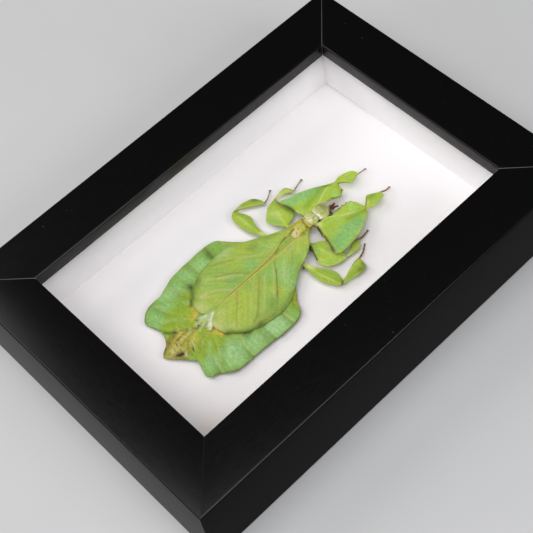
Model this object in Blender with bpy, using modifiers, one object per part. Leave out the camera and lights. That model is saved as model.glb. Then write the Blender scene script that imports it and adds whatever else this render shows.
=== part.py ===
"""Leaf insect, a dried female set out under glass in a black wooden box frame, life size.

Metres, +Z up. The case lies flat on its back, with its origin at the centre of the back, its long
side along Y and the insect's head towards +Y.
"""

import math

import bmesh
import bpy
from mathutils import Matrix, Vector

MM = 0.001
GAP = 0.3

# Case
CASE_WIDTH = 134.0
CASE_LENGTH = 190.0
CASE_DEPTH = 35.0
RAIL_FACE = 21.0
LIP_THICKNESS = 6.0
LIP_OVERHANG = 5.3
RAIL_ARRIS = 0.5
BACK_RECESS = 2.2
BACK_THICKNESS = 3.0
BOARD_THICKNESS = 3.0
LINER_THICKNESS = 3.0
GLASS_THICKNESS = 2.0
TAB_WIDTH = 9.0
TAB_REACH = 8.0
TAB_THICKNESS = 0.6
TAB_SPACING = 90.0

OPENING_HALF_WIDTH = CASE_WIDTH / 2 - RAIL_FACE
OPENING_HALF_LENGTH = CASE_LENGTH / 2 - RAIL_FACE
INSIDE_HALF_WIDTH = OPENING_HALF_WIDTH + LIP_OVERHANG
INSIDE_HALF_LENGTH = OPENING_HALF_LENGTH + LIP_OVERHANG
LIP_UNDERSIDE = CASE_DEPTH - LIP_THICKNESS
BOARD_UNDERSIDE = BACK_RECESS + BACK_THICKNESS + GAP
BOARD_TOP = BOARD_UNDERSIDE + BOARD_THICKNESS
GLASS_UNDERSIDE = LIP_UNDERSIDE - GAP - GLASS_THICKNESS

# The insect's plan was measured on one level above the board, along sight lines from one viewpoint.
# A point of another height stands where its own sight line reaches that height.
PLAN_LEVEL = 11.5
VIEWPOINT = Vector((229.4, -161.4, 435.3))

# Insect
SHEET = 0.55
SHAFT = 1.3
SHAFT_FOOT = 0.8
BACK_HEIGHTS = (
    (-57, 10.3),
    (-50, 11.3),
    (-40, 12.1),
    (-25, 12.7),
    (-8, 12.9),
    (4, 13.1),
    (9, 13.9),
    (15, 15.1),
)
RIM_HEIGHT = 10.6
BELLY_SPREAD = 0.6
BELLY_DEPTH = 3.3
CREASE_DEPTH = 0.3
VEIN_HEIGHT = 0.3
VEIN_HALF_WIDTH = 0.12
MIDRIB_INSET = 1.1
TEGMEN_LIFT = 0.85
TEGMEN_RIMS = ((-38, 12.9), (-30, 12.7), (-20, 12.2), (-5, 12.2), (4, 12.8), (10, 14.2), (15, 15.3))
TARSUS_RADIUS = 0.5
TARSUS_JOINTS = 5
CLAW_LENGTH = 1.0
CLAW_RADIUS = 0.26
CLAW_SPREAD = math.radians(38)
COXA_HALF_WIDTH = 0.75
EYE_RADIUS = 0.8
EYE_DEPTH = 0.6
EYE_RINGS = 5
EYE_STATION = 3
EYE_DROP = 0.2
ANTENNA_LENGTH = 3.0
ANTENNA_RADIUS = 0.42
ANTENNA_BEADS = 8
ANTENNA_RISE = 0.5
ANTENNA_SPACING = 0.8
BROW_CLEARANCE = 0.85
BEAD_WAIST = 0.8
KEEL = 1.5
FLANK_FULLNESS = 0.8
ABDOMEN_PARTS = (0.24, 0.46, 0.66, 0.86, 1)
LOBE_CURL = 1.5
WING_FALL = 1.6

COLORS = {
    "frame_black": ((0.012, 0.011, 0.012), 0.38, 0.0),
    "glass": ((0.92, 0.95, 0.95), 0.05, 0.0),
    "card_white": ((0.86, 0.84, 0.83), 0.8, 0.0),
    "hardboard": ((0.27, 0.16, 0.09), 0.75, 0.0),
    "steel_tab": ((0.55, 0.55, 0.55), 0.35, 1.0),
    "leaf_green": ((0.27, 0.45, 0.11), 0.55, 0.0),
    "wing_green": ((0.33, 0.47, 0.12), 0.5, 0.0),
    "leg_green": ((0.34, 0.52, 0.09), 0.55, 0.0),
    "thorax_ochre": ((0.47, 0.43, 0.07), 0.6, 0.0),
    "pale_green": ((0.5, 0.52, 0.27), 0.6, 0.0),
    "tail_brown": ((0.2, 0.17, 0.04), 0.6, 0.0),
    "dry_brown": ((0.14, 0.05, 0.02), 0.5, 0.0),
    "eye_brown": ((0.05, 0.03, 0.01), 0.25, 0.0),
}


def clear_scene():
    for obj in list(bpy.data.objects):
        bpy.data.objects.remove(obj)


def new_collection(name):
    collection = bpy.data.collections.new(name)
    bpy.context.scene.collection.children.link(collection)
    return collection


def material_for(node, finish):
    color, roughness, metallic = COLORS[finish]
    material = bpy.data.materials.new(f"{node}_{finish}")
    material.use_nodes = True
    shader = material.node_tree.nodes["Principled BSDF"]
    shader.inputs["Base Color"].default_value = (*color, 1)
    shader.inputs["Roughness"].default_value = roughness
    shader.inputs["Metallic"].default_value = metallic
    material.diffuse_color = (*color, 1)
    return material


def add_object(name, bm, finish, smooth=True):
    mesh = bpy.data.meshes.new(name)
    bm.to_mesh(mesh)
    bm.free()
    mesh.materials.append(material_for(name, finish))
    if smooth:
        mesh.shade_smooth()
        mesh.set_sharp_from_angle(angle=math.radians(50))
    obj = bpy.data.objects.new(name, mesh)
    PARTS.objects.link(obj)
    return obj


def seen_at(x, y, z):
    """The point at height z whose sight line crosses the plan level at x, y, in metres."""
    on_level = Vector((x, y, PLAN_LEVEL))
    along = (z - PLAN_LEVEL) / (VIEWPOINT.z - PLAN_LEVEL)
    return on_level.lerp(VIEWPOINT, along) * MM


def blend(pairs, at):
    """Smooth value at a place between (place, value) pairs."""
    for (low, first), (high, second) in zip(pairs, pairs[1:]):
        if at <= high:
            step = max(0.0, (at - low) / (high - low))
            return first + (second - first) * step * step * (3 - 2 * step)
    return pairs[-1][1]


def through(stations, at):
    """The row at a place counted in stations, on a smooth curve through all of them."""
    last = len(stations) - 1
    low = min(int(at), last - 1)
    step = at - low
    before = stations[max(low - 1, 0)]
    first = stations[low]
    second = stations[low + 1]
    after = stations[min(low + 2, last)]
    row = []
    for a, b, c, d in zip(before, first, second, after):
        slope_in = (c - a) / 2
        slope_out = (d - b) / 2
        row.append(
            b
            + slope_in * step
            + (3 * (c - b) - 2 * slope_in - slope_out) * step**2
            + (2 * (b - c) + slope_in + slope_out) * step**3
        )
    return row


def leaf_body(name, rows, finish):
    """A closed sheet: each row is a list of (x, y, middle height, half thickness) across it."""
    along = len(rows) - 1
    across = len(rows[0]) - 1
    bm = bmesh.new()
    bmesh.ops.create_grid(bm, x_segments=along, y_segments=across, size=0.5)
    bmesh.ops.triangulate(bm, faces=bm.faces[:], quad_method="FIXED")
    place = {vert: (round((vert.co.x + 0.5) * along), round((vert.co.y + 0.5) * across)) for vert in bm.verts}
    bottom = list(bm.verts)
    for vert in bottom:
        i, j = place[vert]
        vert.co = (i, j, 0)
    made = bmesh.ops.extrude_face_region(bm, geom=bm.faces[:], use_keep_orig=True)
    top = [item for item in made["geom"] if isinstance(item, bmesh.types.BMVert)]
    for verts, side in ((bottom, -1), (top, 1)):
        for vert in verts:
            x, y, middle, half = rows[round(vert.co.x)][round(vert.co.y)]
            vert.co = seen_at(x, y, middle) + Vector((0, 0, side * half * MM))
    bmesh.ops.recalc_face_normals(bm, faces=bm.faces[:])
    return add_object(name, bm, finish)


def leg_leaf(name, stations, heights, lifts, finish, steps=2, teeth=(0, 0), tooth=0.0):
    """A shaft with a thin lobe on either side. A station is outer x, y, shaft x, y, inner x, y."""
    rows = []
    count = (len(stations) - 1) * steps
    for number in range(count + 1):
        values = through(stations, number / steps)
        outer, shaft, inner = (Vector(values[i : i + 2]) for i in (0, 2, 4))
        fraction = number / count
        height = heights[0] + (heights[1] - heights[0]) * fraction
        row = []
        for margin, lift, side in ((outer, lifts[0], 0), (inner, lifts[1], 1)):
            reach = (margin - shaft).length
            if tooth and side == 0 and teeth[0] < number / steps < teeth[1] and number % 2:
                margin = shaft + (margin - shaft) * (1 + tooth / reach)
            foot = min(SHAFT_FOOT / reach, 0.5)
            line = [1, foot + (1 - foot) * 0.6, foot + (1 - foot) * 0.25, foot]
            points = []
            for part in line:
                spot = shaft.lerp(margin, part)
                rise = lift * math.sin(math.pi * fraction) * part**LOBE_CURL
                points.append((spot.x, spot.y, height + rise, SHEET / 2))
            row += points if side == 0 else [(shaft.x, shaft.y, height, SHAFT / 2)] + points[::-1]
        rows.append(row)
    return leaf_body(name, rows, finish)


def tube(name, path, radii, finish, sides=8):
    """A round limb through points (x, y, z) in plan, with a radius at each, and flat ends."""
    centres = [seen_at(*point) for point in path]
    bm = bmesh.new()
    rings = []
    for number, (centre, radius) in enumerate(zip(centres, radii)):
        before = centres[max(number - 1, 0)]
        after = centres[min(number + 1, len(centres) - 1)]
        forward = (after - before).normalized()
        turn = forward.to_track_quat("Z", "Y")
        ring = []
        for corner in range(sides):
            angle = 2 * math.pi * corner / sides
            spoke = turn @ Vector((math.cos(angle), math.sin(angle), 0))
            ring.append(bm.verts.new(centre + spoke * radius * MM))
        rings.append(ring)
    close_loft(bm, rings)
    return add_object(name, bm, finish)


def close_loft(bm, rings):
    for first, second in zip(rings, rings[1:]):
        for corner in range(len(first)):
            following = (corner + 1) % len(first)
            bm.faces.new((first[corner], first[following], second[following], second[corner]))
    bm.faces.new(rings[0])
    bm.faces.new(rings[-1])
    bmesh.ops.triangulate(bm, faces=bm.faces[:])
    bmesh.ops.recalc_face_normals(bm, faces=bm.faces[:])


def fuse(pieces):
    """One closed body from overlapping pieces: the first one's mesh becomes the union of all."""
    body = pieces[0]
    joined = new_collection("joined")
    for piece in pieces[1:]:
        PARTS.objects.unlink(piece)
        joined.objects.link(piece)
    union = body.modifiers.new("union", "BOOLEAN")
    union.operation = "UNION"
    union.operand_type = "COLLECTION"
    union.collection = joined
    graph = bpy.context.evaluated_depsgraph_get()
    whole = bpy.data.meshes.new_from_object(body.evaluated_get(graph))
    body.modifiers.remove(union)
    body.data = whole
    for piece in pieces[1:]:
        bpy.data.objects.remove(piece)
    bpy.data.collections.remove(joined)
    keep_largest_surface(whole)
    return body


def keep_largest_surface(mesh):
    bm = bmesh.new()
    bm.from_mesh(mesh)
    unseen = set(bm.verts)
    surfaces = []
    while unseen:
        surface = set()
        edge_of_search = [unseen.pop()]
        while edge_of_search:
            vert = edge_of_search.pop()
            surface.add(vert)
            for edge in vert.link_edges:
                other = edge.other_vert(vert)
                if other in unseen:
                    unseen.remove(other)
                    edge_of_search.append(other)
        surfaces.append(surface)
    surfaces.sort(key=len)
    for surface in surfaces[:-1]:
        bmesh.ops.delete(bm, geom=list(surface), context="VERTS")
    bmesh.ops.triangulate(bm, faces=bm.faces[:])
    bm.to_mesh(mesh)
    bm.free()


def trunk(name, stations, finish, keel, sides=14):
    """A body segment along Y. A station is centre x, y, z, half width, half height."""
    bm = bmesh.new()
    rings = []
    for x, y, z, half_width, half_height in stations:
        centre = seen_at(x, y, z)
        ring = []
        for corner in range(sides):
            angle = 2 * math.pi * corner / sides
            side = math.copysign(abs(math.cos(angle)) ** FLANK_FULLNESS, math.cos(angle)) * half_width
            rise = math.sin(angle) * half_height * (keel if math.sin(angle) < 0 else 1)
            ring.append(bm.verts.new(centre + Vector((side, 0, rise)) * MM))
        rings.append(ring)
    close_loft(bm, rings)
    return add_object(name, bm, finish)


def box_piece(name, low, high, finish):
    bm = bmesh.new()
    bmesh.ops.create_cube(bm, size=1)
    low = Vector(low) * MM
    high = Vector(high) * MM
    for vert in bm.verts:
        vert.co = Vector(high[i] if vert.co[i] > 0 else low[i] for i in range(3))
    return add_object(name, bm, finish, smooth=False)


def add_rail(name, quarter_turns, half_across, half_along):
    """A mitred rail on the +X side, turned to its place. Its lip reaches in over the glass."""
    section = (
        (0, CASE_DEPTH),
        (0, LIP_UNDERSIDE),
        (LIP_OVERHANG, LIP_UNDERSIDE),
        (LIP_OVERHANG, 0),
        (RAIL_FACE, 0),
        (RAIL_FACE, CASE_DEPTH),
    )
    mitre_gap = GAP / math.sqrt(2)
    bm = bmesh.new()
    rings = []
    for end in (-1, 1):
        ring = []
        for out, height in section:
            along = end * (half_along + out - mitre_gap)
            ring.append(bm.verts.new(Vector((half_across + out, along, height)) * MM))
        rings.append(ring)
    for corner in range(len(section)):
        following = (corner + 1) % len(section)
        bm.faces.new((rings[0][corner], rings[0][following], rings[1][following], rings[1][corner]))
    bm.faces.new(rings[0])
    bm.faces.new(rings[1])
    bmesh.ops.recalc_face_normals(bm, faces=bm.faces[:])
    rail = add_object(name, bm, "frame_black", smooth=False)
    rail.rotation_euler.z = math.pi / 2 * quarter_turns
    bevel = rail.modifiers.new("arris", "BEVEL")
    bevel.width = RAIL_ARRIS * MM
    bevel.segments = 2
    bevel.limit_method = "ANGLE"
    return rail


def add_case():
    sides = (("right", 0), ("head", 1), ("left", 2), ("foot", 3))
    for side, turns in sides:
        across, along = OPENING_HALF_WIDTH, OPENING_HALF_LENGTH
        if turns % 2:
            across, along = along, across
        add_rail(f"case_rail_{side}", turns, across, along)
    half_x = INSIDE_HALF_WIDTH - GAP
    half_y = INSIDE_HALF_LENGTH - GAP
    layers = (
        ("case_back", BACK_RECESS, BACK_THICKNESS, "hardboard"),
        ("case_board", BOARD_UNDERSIDE, BOARD_THICKNESS, "card_white"),
        ("case_glass", GLASS_UNDERSIDE, GLASS_THICKNESS, "glass"),
    )
    for name, low, thickness, finish in layers:
        box_piece(name, (-half_x, -half_y, low), (half_x, half_y, low + thickness), finish)
    low = BOARD_TOP + GAP
    high = GLASS_UNDERSIDE - GAP
    inner_x = half_x - LINER_THICKNESS
    inner_y = half_y - LINER_THICKNESS
    box_piece("case_liner_left", (-half_x, -half_y, low), (-inner_x, half_y, high), "card_white")
    box_piece("case_liner_right", (inner_x, -half_y, low), (half_x, half_y, high), "card_white")
    box_piece("case_liner_foot", (GAP - inner_x, -half_y, low), (inner_x - GAP, -inner_y, high), "card_white")
    box_piece("case_liner_head", (GAP - inner_x, inner_y, low), (inner_x - GAP, half_y, high), "card_white")
    tab_top = BACK_RECESS - GAP
    for side, sign in (("left", -1), ("right", 1)):
        for end, place in (("foot", -TAB_SPACING / 2), ("head", TAB_SPACING / 2)):
            ends = sorted((sign * half_x, sign * (half_x - TAB_REACH)))
            low = (ends[0], place - TAB_WIDTH / 2, tab_top - TAB_THICKNESS)
            high = (ends[1], place + TAB_WIDTH / 2, tab_top)
            box_piece(f"case_tab_{side}_{end}", low, high, "steel_tab")


# Abdomen rows: left margin x, y, middle x, y, right margin x, y.
ABDOMEN = (
    (-5.4, 4.0, 0.3, 4.5, 6.2, 3.9),
    (-10.2, 0.6, 0.3, 0.5, 11.2, 0.3),
    (-14.8, -3.8, 0.4, -4.0, 15.9, -4.0),
    (-19.1, -7.4, 0.5, -8.0, 20.0, -7.5),
    (-22.4, -10.0, 0.6, -12.0, 24.2, -9.9),
    (-23.6, -13.8, 0.7, -16.5, 26.0, -13.5),
    (-23.7, -19.0, 0.8, -21.0, 26.4, -19.0),
    (-23.4, -25.0, 0.9, -25.5, 26.0, -24.5),
    (-23.1, -31.0, 1.0, -30.5, 25.4, -31.0),
    (-21.9, -35.8, 1.1, -35.0, 25.4, -36.0),
    (-20.1, -40.6, 1.2, -38.5, 25.2, -42.0),
    (-19.7, -44.6, 1.3, -41.5, 23.4, -45.6),
    (-19.4, -47.6, 1.3, -43.5, 20.8, -49.0),
    (-17.6, -51.0, 1.3, -45.0, 20.2, -51.0),
    (-14.4, -53.3, 1.3, -46.3, 17.7, -52.4),
    (-10.2, -51.7, 1.3, -48.0, 14.4, -50.7),
    (-6.8, -51.6, 1.3, -49.6, 11.4, -50.3),
)
ABDOMEN_CREASES = (4, 7, 9, 12)
TAIL = (
    (-6.5, -52.0, 1.3, -50.0, 11.1, -50.7),
    (-4.1, -52.6, 1.3, -51.6, 9.1, -52.0),
    (-1.9, -54.4, 1.3, -53.5, 6.4, -54.1),
    (-0.6, -56.5, 1.3, -55.6, 4.1, -56.2),
    (0.7, -57.4, 1.3, -57.5, 2.2, -57.3),
)

# Tegmen rows: inner edge x, y, outer margin x, y. The rows marked as veins run out from the midrib.
TEGMEN_LEFT = (
    (-4.6, 14.4, -5.4, 14.2),
    (-4.0, 12.6, -7.5, 9.6),
    (-3.4, 10.6, -10.7, 3.7),
    (-2.8, 8.0, -14.0, -2.3),
    (-2.2, 5.0, -16.9, -8.5),
    (-1.7, 1.5, -17.3, -16.0),
    (-1.5, -5.0, -16.6, -22.0),
    (-1.4, -11.5, -14.3, -28.6),
    (-1.3, -16.0, -12.0, -31.7),
    (-1.2, -21.0, -9.3, -34.6),
    (-1.0, -27.0, -6.6, -36.7),
    (-0.5, -32.0, -4.4, -38.0),
    (-1.4, -35.6, -2.8, -38.6),
)
TEGMEN_RIGHT = (
    (0.2, 18.8, 1.0, 18.4),
    (0.0, 16.5, 4.5, 14.0),
    (-0.2, 14.0, 8.2, 10.0),
    (-0.5, 11.0, 11.7, 2.8),
    (-0.8, 7.5, 15.5, -3.3),
    (-1.0, 3.5, 18.2, -9.2),
    (-1.0, 0.0, 19.3, -15.0),
    (-0.9, -5.0, 18.9, -20.5),
    (-0.8, -10.0, 17.5, -26.0),
    (-0.7, -15.0, 15.4, -30.0),
    (-0.6, -20.0, 12.7, -33.2),
    (-0.4, -26.0, 9.6, -36.2),
    (0.1, -31.5, 6.6, -37.5),
    (1.8, -35.2, 4.6, -38.0),
)


def abdomen_rows(stations, steps, creases=()):
    rows = []
    count = (len(stations) - 1) * steps
    for number in range(count + 1):
        values = through(stations, number / steps)
        left, middle, right = (Vector(values[i : i + 2]) for i in (0, 2, 4))
        crest = blend(BACK_HEIGHTS, middle.y)
        belly = BELLY_DEPTH * min(1.0, (crest - BOARD_TOP - GAP) / BELLY_DEPTH)
        crease = CREASE_DEPTH if number / steps in creases else 0.0
        row = []
        for margin, parts in ((left, ABDOMEN_PARTS[::-1]), (right, (0, *ABDOMEN_PARTS))):
            for part in parts:
                spot = middle.lerp(margin, part)
                fullness = max(0.0, 1 - (part / BELLY_SPREAD) ** 2)
                half = (SHEET + (belly - SHEET) * fullness) / 2
                top = RIM_HEIGHT + (crest - RIM_HEIGHT) * (1 - part**2) - crease * min(1, 2 * part)
                row.append((spot.x, spot.y, top - half, half))
        rows.append(row)
    return rows


def tegmen_rows(stations, veins):
    places = []
    last = len(stations) - 1
    for number in range(last):
        places += [number, number + VEIN_HALF_WIDTH, number + 0.5, number + 1 - VEIN_HALF_WIDTH]
    places.append(last)
    rows = []
    for place in places:
        values = through(stations, place)
        inner, outer = Vector(values[:2]), Vector(values[2:])
        reach = (outer - inner).length
        inset = min(MIDRIB_INSET / reach, 0.3)
        crest = blend(BACK_HEIGHTS, inner.y) + TEGMEN_LIFT
        rim = blend(TEGMEN_RIMS, outer.y)
        vein = VEIN_HEIGHT if place in veins else 0.0
        row = []
        for part in (0, inset * 0.5, inset, inset * 1.6, max(0.4, inset * 1.7), 0.7, 1):
            midrib = 1 if part == inset else 0
            spot = inner.lerp(outer, part)
            middle = crest + (rim - crest) * part**WING_FALL
            ridge = max(VEIN_HEIGHT * midrib, vein * (1 - part) ** 0.5) if 0 < place < last else 0
            row.append((spot.x, spot.y, middle + ridge / 2, (SHEET + ridge) / 2))
        rows.append(row)
    return rows


# Leg rows, root to tip: outer margin x, y, shaft x, y, inner margin x, y.
FEMORA = {
    "front_left": (
        (-10.0, 20.1, -5.9, 23.4, -5.4, 23.9),
        (-15.0, 18.7, -6.0, 24.7, -5.4, 25.1),
        (-17.5, 19.4, -6.0, 26.2, -5.4, 26.6),
        (-16.5, 23.0, -6.3, 28.0, -5.8, 28.3),
        (-15.2, 27.2, -6.5, 30.2, -5.0, 30.3),
        (-13.4, 31.2, -7.3, 32.8, -3.6, 32.6),
        (-11.1, 35.2, -7.9, 35.4, -2.2, 35.2),
        (-9.4, 37.9, -7.6, 37.6, -1.2, 37.2),
        (-8.6, 39.4, -7.3, 39.3, -3.3, 39.7),
        (-8.0, 40.5, -7.2, 40.5, -6.4, 40.5),
    ),
    "front_right": (
        (8.0, 19.5, 2.6, 23.6, 1.6, 24.0),
        (13.4, 17.3, 3.1, 25.2, 1.3, 25.5),
        (16.7, 18.2, 3.7, 26.8, 1.5, 27.0),
        (17.5, 21.5, 4.3, 28.4, 2.3, 28.6),
        (17.2, 25.5, 5.0, 30.2, 1.9, 30.6),
        (16.2, 29.8, 5.9, 32.0, 2.0, 32.7),
        (14.8, 33.0, 6.8, 33.9, 2.3, 35.0),
        (13.2, 36.1, 7.9, 36.2, 3.0, 37.4),
        (11.8, 38.6, 8.8, 38.3, 5.3, 39.5),
        (10.6, 40.0, 9.5, 39.9, 8.4, 39.9),
    ),
    "mid_left": (
        (-7.3, 12.6, -7.0, 13.5, -7.0, 14.3),
        (-9.3, 11.3, -8.4, 14.0, -7.9, 16.4),
        (-13.6, 9.2, -11.0, 14.8, -9.3, 19.4),
        (-16.2, 10.6, -13.5, 15.7, -12.0, 20.6),
        (-18.6, 13.6, -16.0, 16.8, -15.2, 20.6),
        (-19.6, 16.2, -17.9, 17.7, -17.6, 19.6),
        (-19.9, 18.0, -19.3, 18.6, -18.8, 19.2),
    ),
    "mid_right": (
        (5.6, 12.8, 5.7, 13.5, 5.8, 14.2),
        (8.0, 12.4, 8.2, 14.3, 7.6, 17.4),
        (11.0, 10.3, 11.0, 15.0, 9.5, 19.0),
        (14.0, 9.6, 13.6, 15.7, 12.5, 20.3),
        (16.9, 10.3, 16.0, 16.6, 15.5, 20.6),
        (19.2, 13.0, 18.1, 17.3, 17.8, 20.0),
        (20.4, 16.2, 19.4, 18.0, 18.8, 19.4),
        (20.5, 18.0, 20.0, 18.5, 19.5, 19.0),
    ),
    "hind_left": (
        (-8.0, 4.8, -8.0, 5.5, -8.0, 6.2),
        (-10.5, 3.7, -10.5, 4.6, -10.5, 5.4),
        (-13.2, 2.2, -13.2, 4.2, -13.4, 5.3),
        (-16.3, 1.2, -16.4, 4.1, -17.0, 5.7),
        (-20.1, 0.8, -20.1, 4.1, -20.2, 6.9),
        (-23.6, 1.2, -23.5, 4.0, -22.8, 6.5),
        (-26.0, 2.7, -25.6, 4.0, -25.0, 5.6),
        (-27.1, 3.5, -27.0, 4.1, -26.8, 4.8),
    ),
    "hind_right": (
        (7.0, 4.6, 7.0, 5.3, 7.0, 6.0),
        (11.0, 4.9, 11.0, 5.6, 10.9, 6.3),
        (13.7, 4.8, 13.6, 6.0, 13.3, 7.2),
        (17.0, 4.3, 16.8, 6.5, 16.3, 8.7),
        (20.3, 4.6, 20.2, 7.1, 19.4, 10.7),
        (23.3, 5.6, 23.0, 7.8, 22.0, 11.5),
        (25.8, 7.0, 25.3, 8.5, 24.8, 11.0),
        (27.2, 8.0, 26.9, 8.8, 26.5, 9.7),
    ),
}
TIBIAE = {
    "front_left": (
        (-8.0, 40.8, -7.3, 40.8, -6.5, 40.8),
        (-8.5, 43.0, -6.9, 42.7, -4.7, 42.6),
        (-8.3, 45.0, -6.3, 44.6, -2.9, 44.3),
        (-7.6, 47.2, -5.4, 46.8, -2.9, 46.4),
        (-6.6, 49.0, -4.7, 48.6, -3.4, 48.3),
        (-4.6, 49.6, -4.1, 49.6, -3.6, 49.6),
    ),
    "front_right": (
        (10.7, 40.3, 9.9, 40.25, 9.0, 40.25),
        (11.6, 42.6, 9.6, 42.6, 6.9, 42.4),
        (11.6, 45.0, 9.4, 44.8, 5.9, 44.5),
        (11.2, 47.4, 9.2, 47.0, 7.3, 46.9),
        (10.5, 48.9, 9.1, 48.7, 8.3, 48.3),
        (9.5, 49.3, 9.1, 49.3, 8.6, 49.2),
    ),
    "mid_left": (
        (-20.0, 19.5, -19.5, 19.5, -19.0, 19.5),
        (-20.8, 22.0, -19.2, 21.8, -18.5, 21.9),
        (-20.9, 24.2, -18.6, 23.9, -17.9, 23.8),
        (-20.0, 26.0, -17.9, 25.4, -17.3, 25.2),
        (-17.8, 26.6, -17.2, 26.6, -16.7, 26.5),
    ),
    "mid_right": (
        (20.4, 19.35, 19.9, 19.35, 19.4, 19.35),
        (20.7, 22.0, 18.9, 21.9, 18.4, 21.8),
        (21.0, 24.6, 18.2, 24.0, 17.6, 23.8),
        (20.1, 26.1, 17.9, 25.4, 17.3, 25.2),
        (18.2, 26.8, 17.7, 26.8, 17.2, 26.7),
    ),
    "hind_left": (
        (-27.6, 5.05, -27.0, 5.15, -26.4, 5.25),
        (-27.9, 7.6, -26.2, 7.3, -25.6, 7.1),
        (-27.5, 10.2, -25.0, 9.2, -24.4, 8.9),
        (-26.3, 13.1, -23.6, 11.3, -23.0, 11.0),
        (-24.3, 14.9, -22.4, 13.1, -21.8, 12.8),
        (-21.9, 15.1, -21.4, 14.8, -20.9, 14.5),
    ),
    "hind_right": (
        (27.9, 9.95, 27.3, 9.95, 26.7, 10.0),
        (28.2, 12.7, 26.4, 12.5, 25.8, 12.3),
        (28.8, 16.0, 25.2, 15.5, 24.6, 15.2),
        (29.2, 18.8, 24.4, 18.2, 23.8, 17.9),
        (27.8, 21.1, 24.1, 20.0, 23.5, 19.6),
        (24.6, 21.2, 24.0, 21.2, 23.4, 21.1),
    ),
}
# Tarsus routes, x and y, from the tibia's end to the claws.
TARSI = {
    "front_left": ((-4.05, 50.25), (-3.8, 52.0), (-3.4, 53.6)),
    "front_right": ((9.2, 49.95), (9.9, 51.4), (9.8, 53.5)),
    "mid_left": ((-17.05, 27.2), (-17.6, 30.2), (-18.4, 33.2)),
    "mid_right": ((17.8, 27.4), (18.2, 30.0), (17.6, 33.3)),
    "hind_left": ((-21.45, 15.5), (-21.9, 17.6), (-24.0, 21.4)),
    "hind_right": ((23.85, 21.8), (22.9, 24.6), (20.9, 27.9)),
}
# Heights of a leg: femur root, knee, tibia tip, claws; then how far the femur's lobes rise.
LEG_HEIGHTS = {
    "front_left": (13.2, 12.6, 12.0, 9.8, 2.0, 0.4),
    "front_right": (13.2, 12.6, 12.0, 9.8, 2.0, 0.4),
    "mid_left": (12.6, 10.6, 10.4, 9.3, 0.5, -0.8),
    "mid_right": (12.6, 10.6, 10.4, 9.3, 0.5, -0.8),
    "hind_left": (11.5, 10.8, 10.4, 9.3, 0.5, 0.5),
    "hind_right": (11.5, 10.8, 10.4, 9.3, 0.5, 0.5),
}
FEMUR_TEETH = {"front_left": (1, 3.4), "front_right": (1, 3.4)}
TOOTH = 0.35


# Trunk segments, rear to front: centre x, y, z, half width, half height.
TRUNK = {
    "metathorax": ((-0.2, 4.9, 11.6, 5.4, 1.3), (-0.4, 7.0, 11.7, 5.5, 1.6), (-0.8, 10.4, 12.2, 4.6, 1.6)),
    "mesothorax": (
        (-1.4, 11.0, 12.7, 4.3, 1.6),
        (-1.8, 14.0, 12.8, 4.1, 2.0),
        (-2.0, 17.5, 13.1, 3.3, 2.6),
        (-2.0, 20.6, 13.2, 3.0, 2.1),
    ),
    "pronotum": ((-1.9, 20.9, 13.2, 3.0, 1.9), (-1.8, 22.6, 13.2, 3.3, 2.2), (-1.7, 24.3, 13.0, 2.6, 1.8)),
    "head": (
        (-1.7, 24.6, 13.0, 1.9, 1.2),
        (-1.7, 25.7, 13.0, 2.8, 1.8),
        (-1.7, 27.3, 12.9, 3.0, 2.1),
        (-1.6, 28.7, 12.7, 2.4, 1.9),
        (-1.5, 29.6, 12.5, 2.1, 1.6),
        (-1.4, 30.4, 12.2, 1.4, 1.1),
    ),
}
TRUNK_FINISH = {
    "metathorax": "thorax_ochre",
    "mesothorax": "thorax_ochre",
    "pronotum": "pale_green",
    "head": "pale_green",
}
# The segment that each pair of legs grows from, and how far along it.
LEG_ROOTS = {"front": ("pronotum", 22.3), "mid": ("mesothorax", 13.6), "hind": ("metathorax", 6.2)}


def trunk_side(segment, y, side):
    """Plan x of a segment's flank at y."""
    stations = TRUNK[segment]
    for first, second in zip(stations, stations[1:]):
        if y <= second[1]:
            step = (y - first[1]) / (second[1] - first[1])
            centre = first[0] + (second[0] - first[0]) * step
            return centre + side * (first[3] + (second[3] - first[3]) * step)
    return stations[-1][0] + side * stations[-1][3]


def leg_root(leg):
    """The flat first row of a femur, face to face with the flank that it grows from."""
    pair, side_name = leg.split("_")
    side = -1 if side_name == "left" else 1
    segment, y = LEG_ROOTS[pair]
    low, high = y - COXA_HALF_WIDTH, y + COXA_HALF_WIDTH
    flank = max(side * trunk_side(segment, at, side) for at in (low, y, high))
    x = side * (flank + GAP)
    return (x, low, x, y, x, high)


def add_tarsus(leg, ankle, claws):
    path = []
    radii = []
    steps = TARSUS_JOINTS * 2
    for number in range(steps + 1):
        fraction = number / steps
        x, y = through(TARSI[leg], fraction * (len(TARSI[leg]) - 1))
        path.append((x, y, ankle + (claws - ankle) * fraction))
        radii.append(TARSUS_RADIUS * (1 if number % 2 else BEAD_WAIST) * (1 - 0.2 * fraction))
    pieces = [tube(f"tarsus_{leg}", path, radii, "dry_brown")]
    tip = Vector(path[-1])
    forward = (tip - Vector(path[-2])).xy.normalized()
    for side in (-1, 1):
        turned = forward.copy()
        turned.rotate(Matrix.Rotation(side * CLAW_SPREAD, 2))
        hook = []
        for reach, drop in ((-0.6, 0.0), (0.5, 0.0), (1.0, 0.25)):
            spot = tip.xy + turned * reach * CLAW_LENGTH
            hook.append((spot.x, spot.y, tip.z - drop))
        sizes = (CLAW_RADIUS, CLAW_RADIUS * 0.8, CLAW_RADIUS * 0.3)
        pieces.append(tube(f"claw_{leg}_{side}", hook, sizes, "dry_brown", sides=5))
    fuse(pieces)


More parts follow.
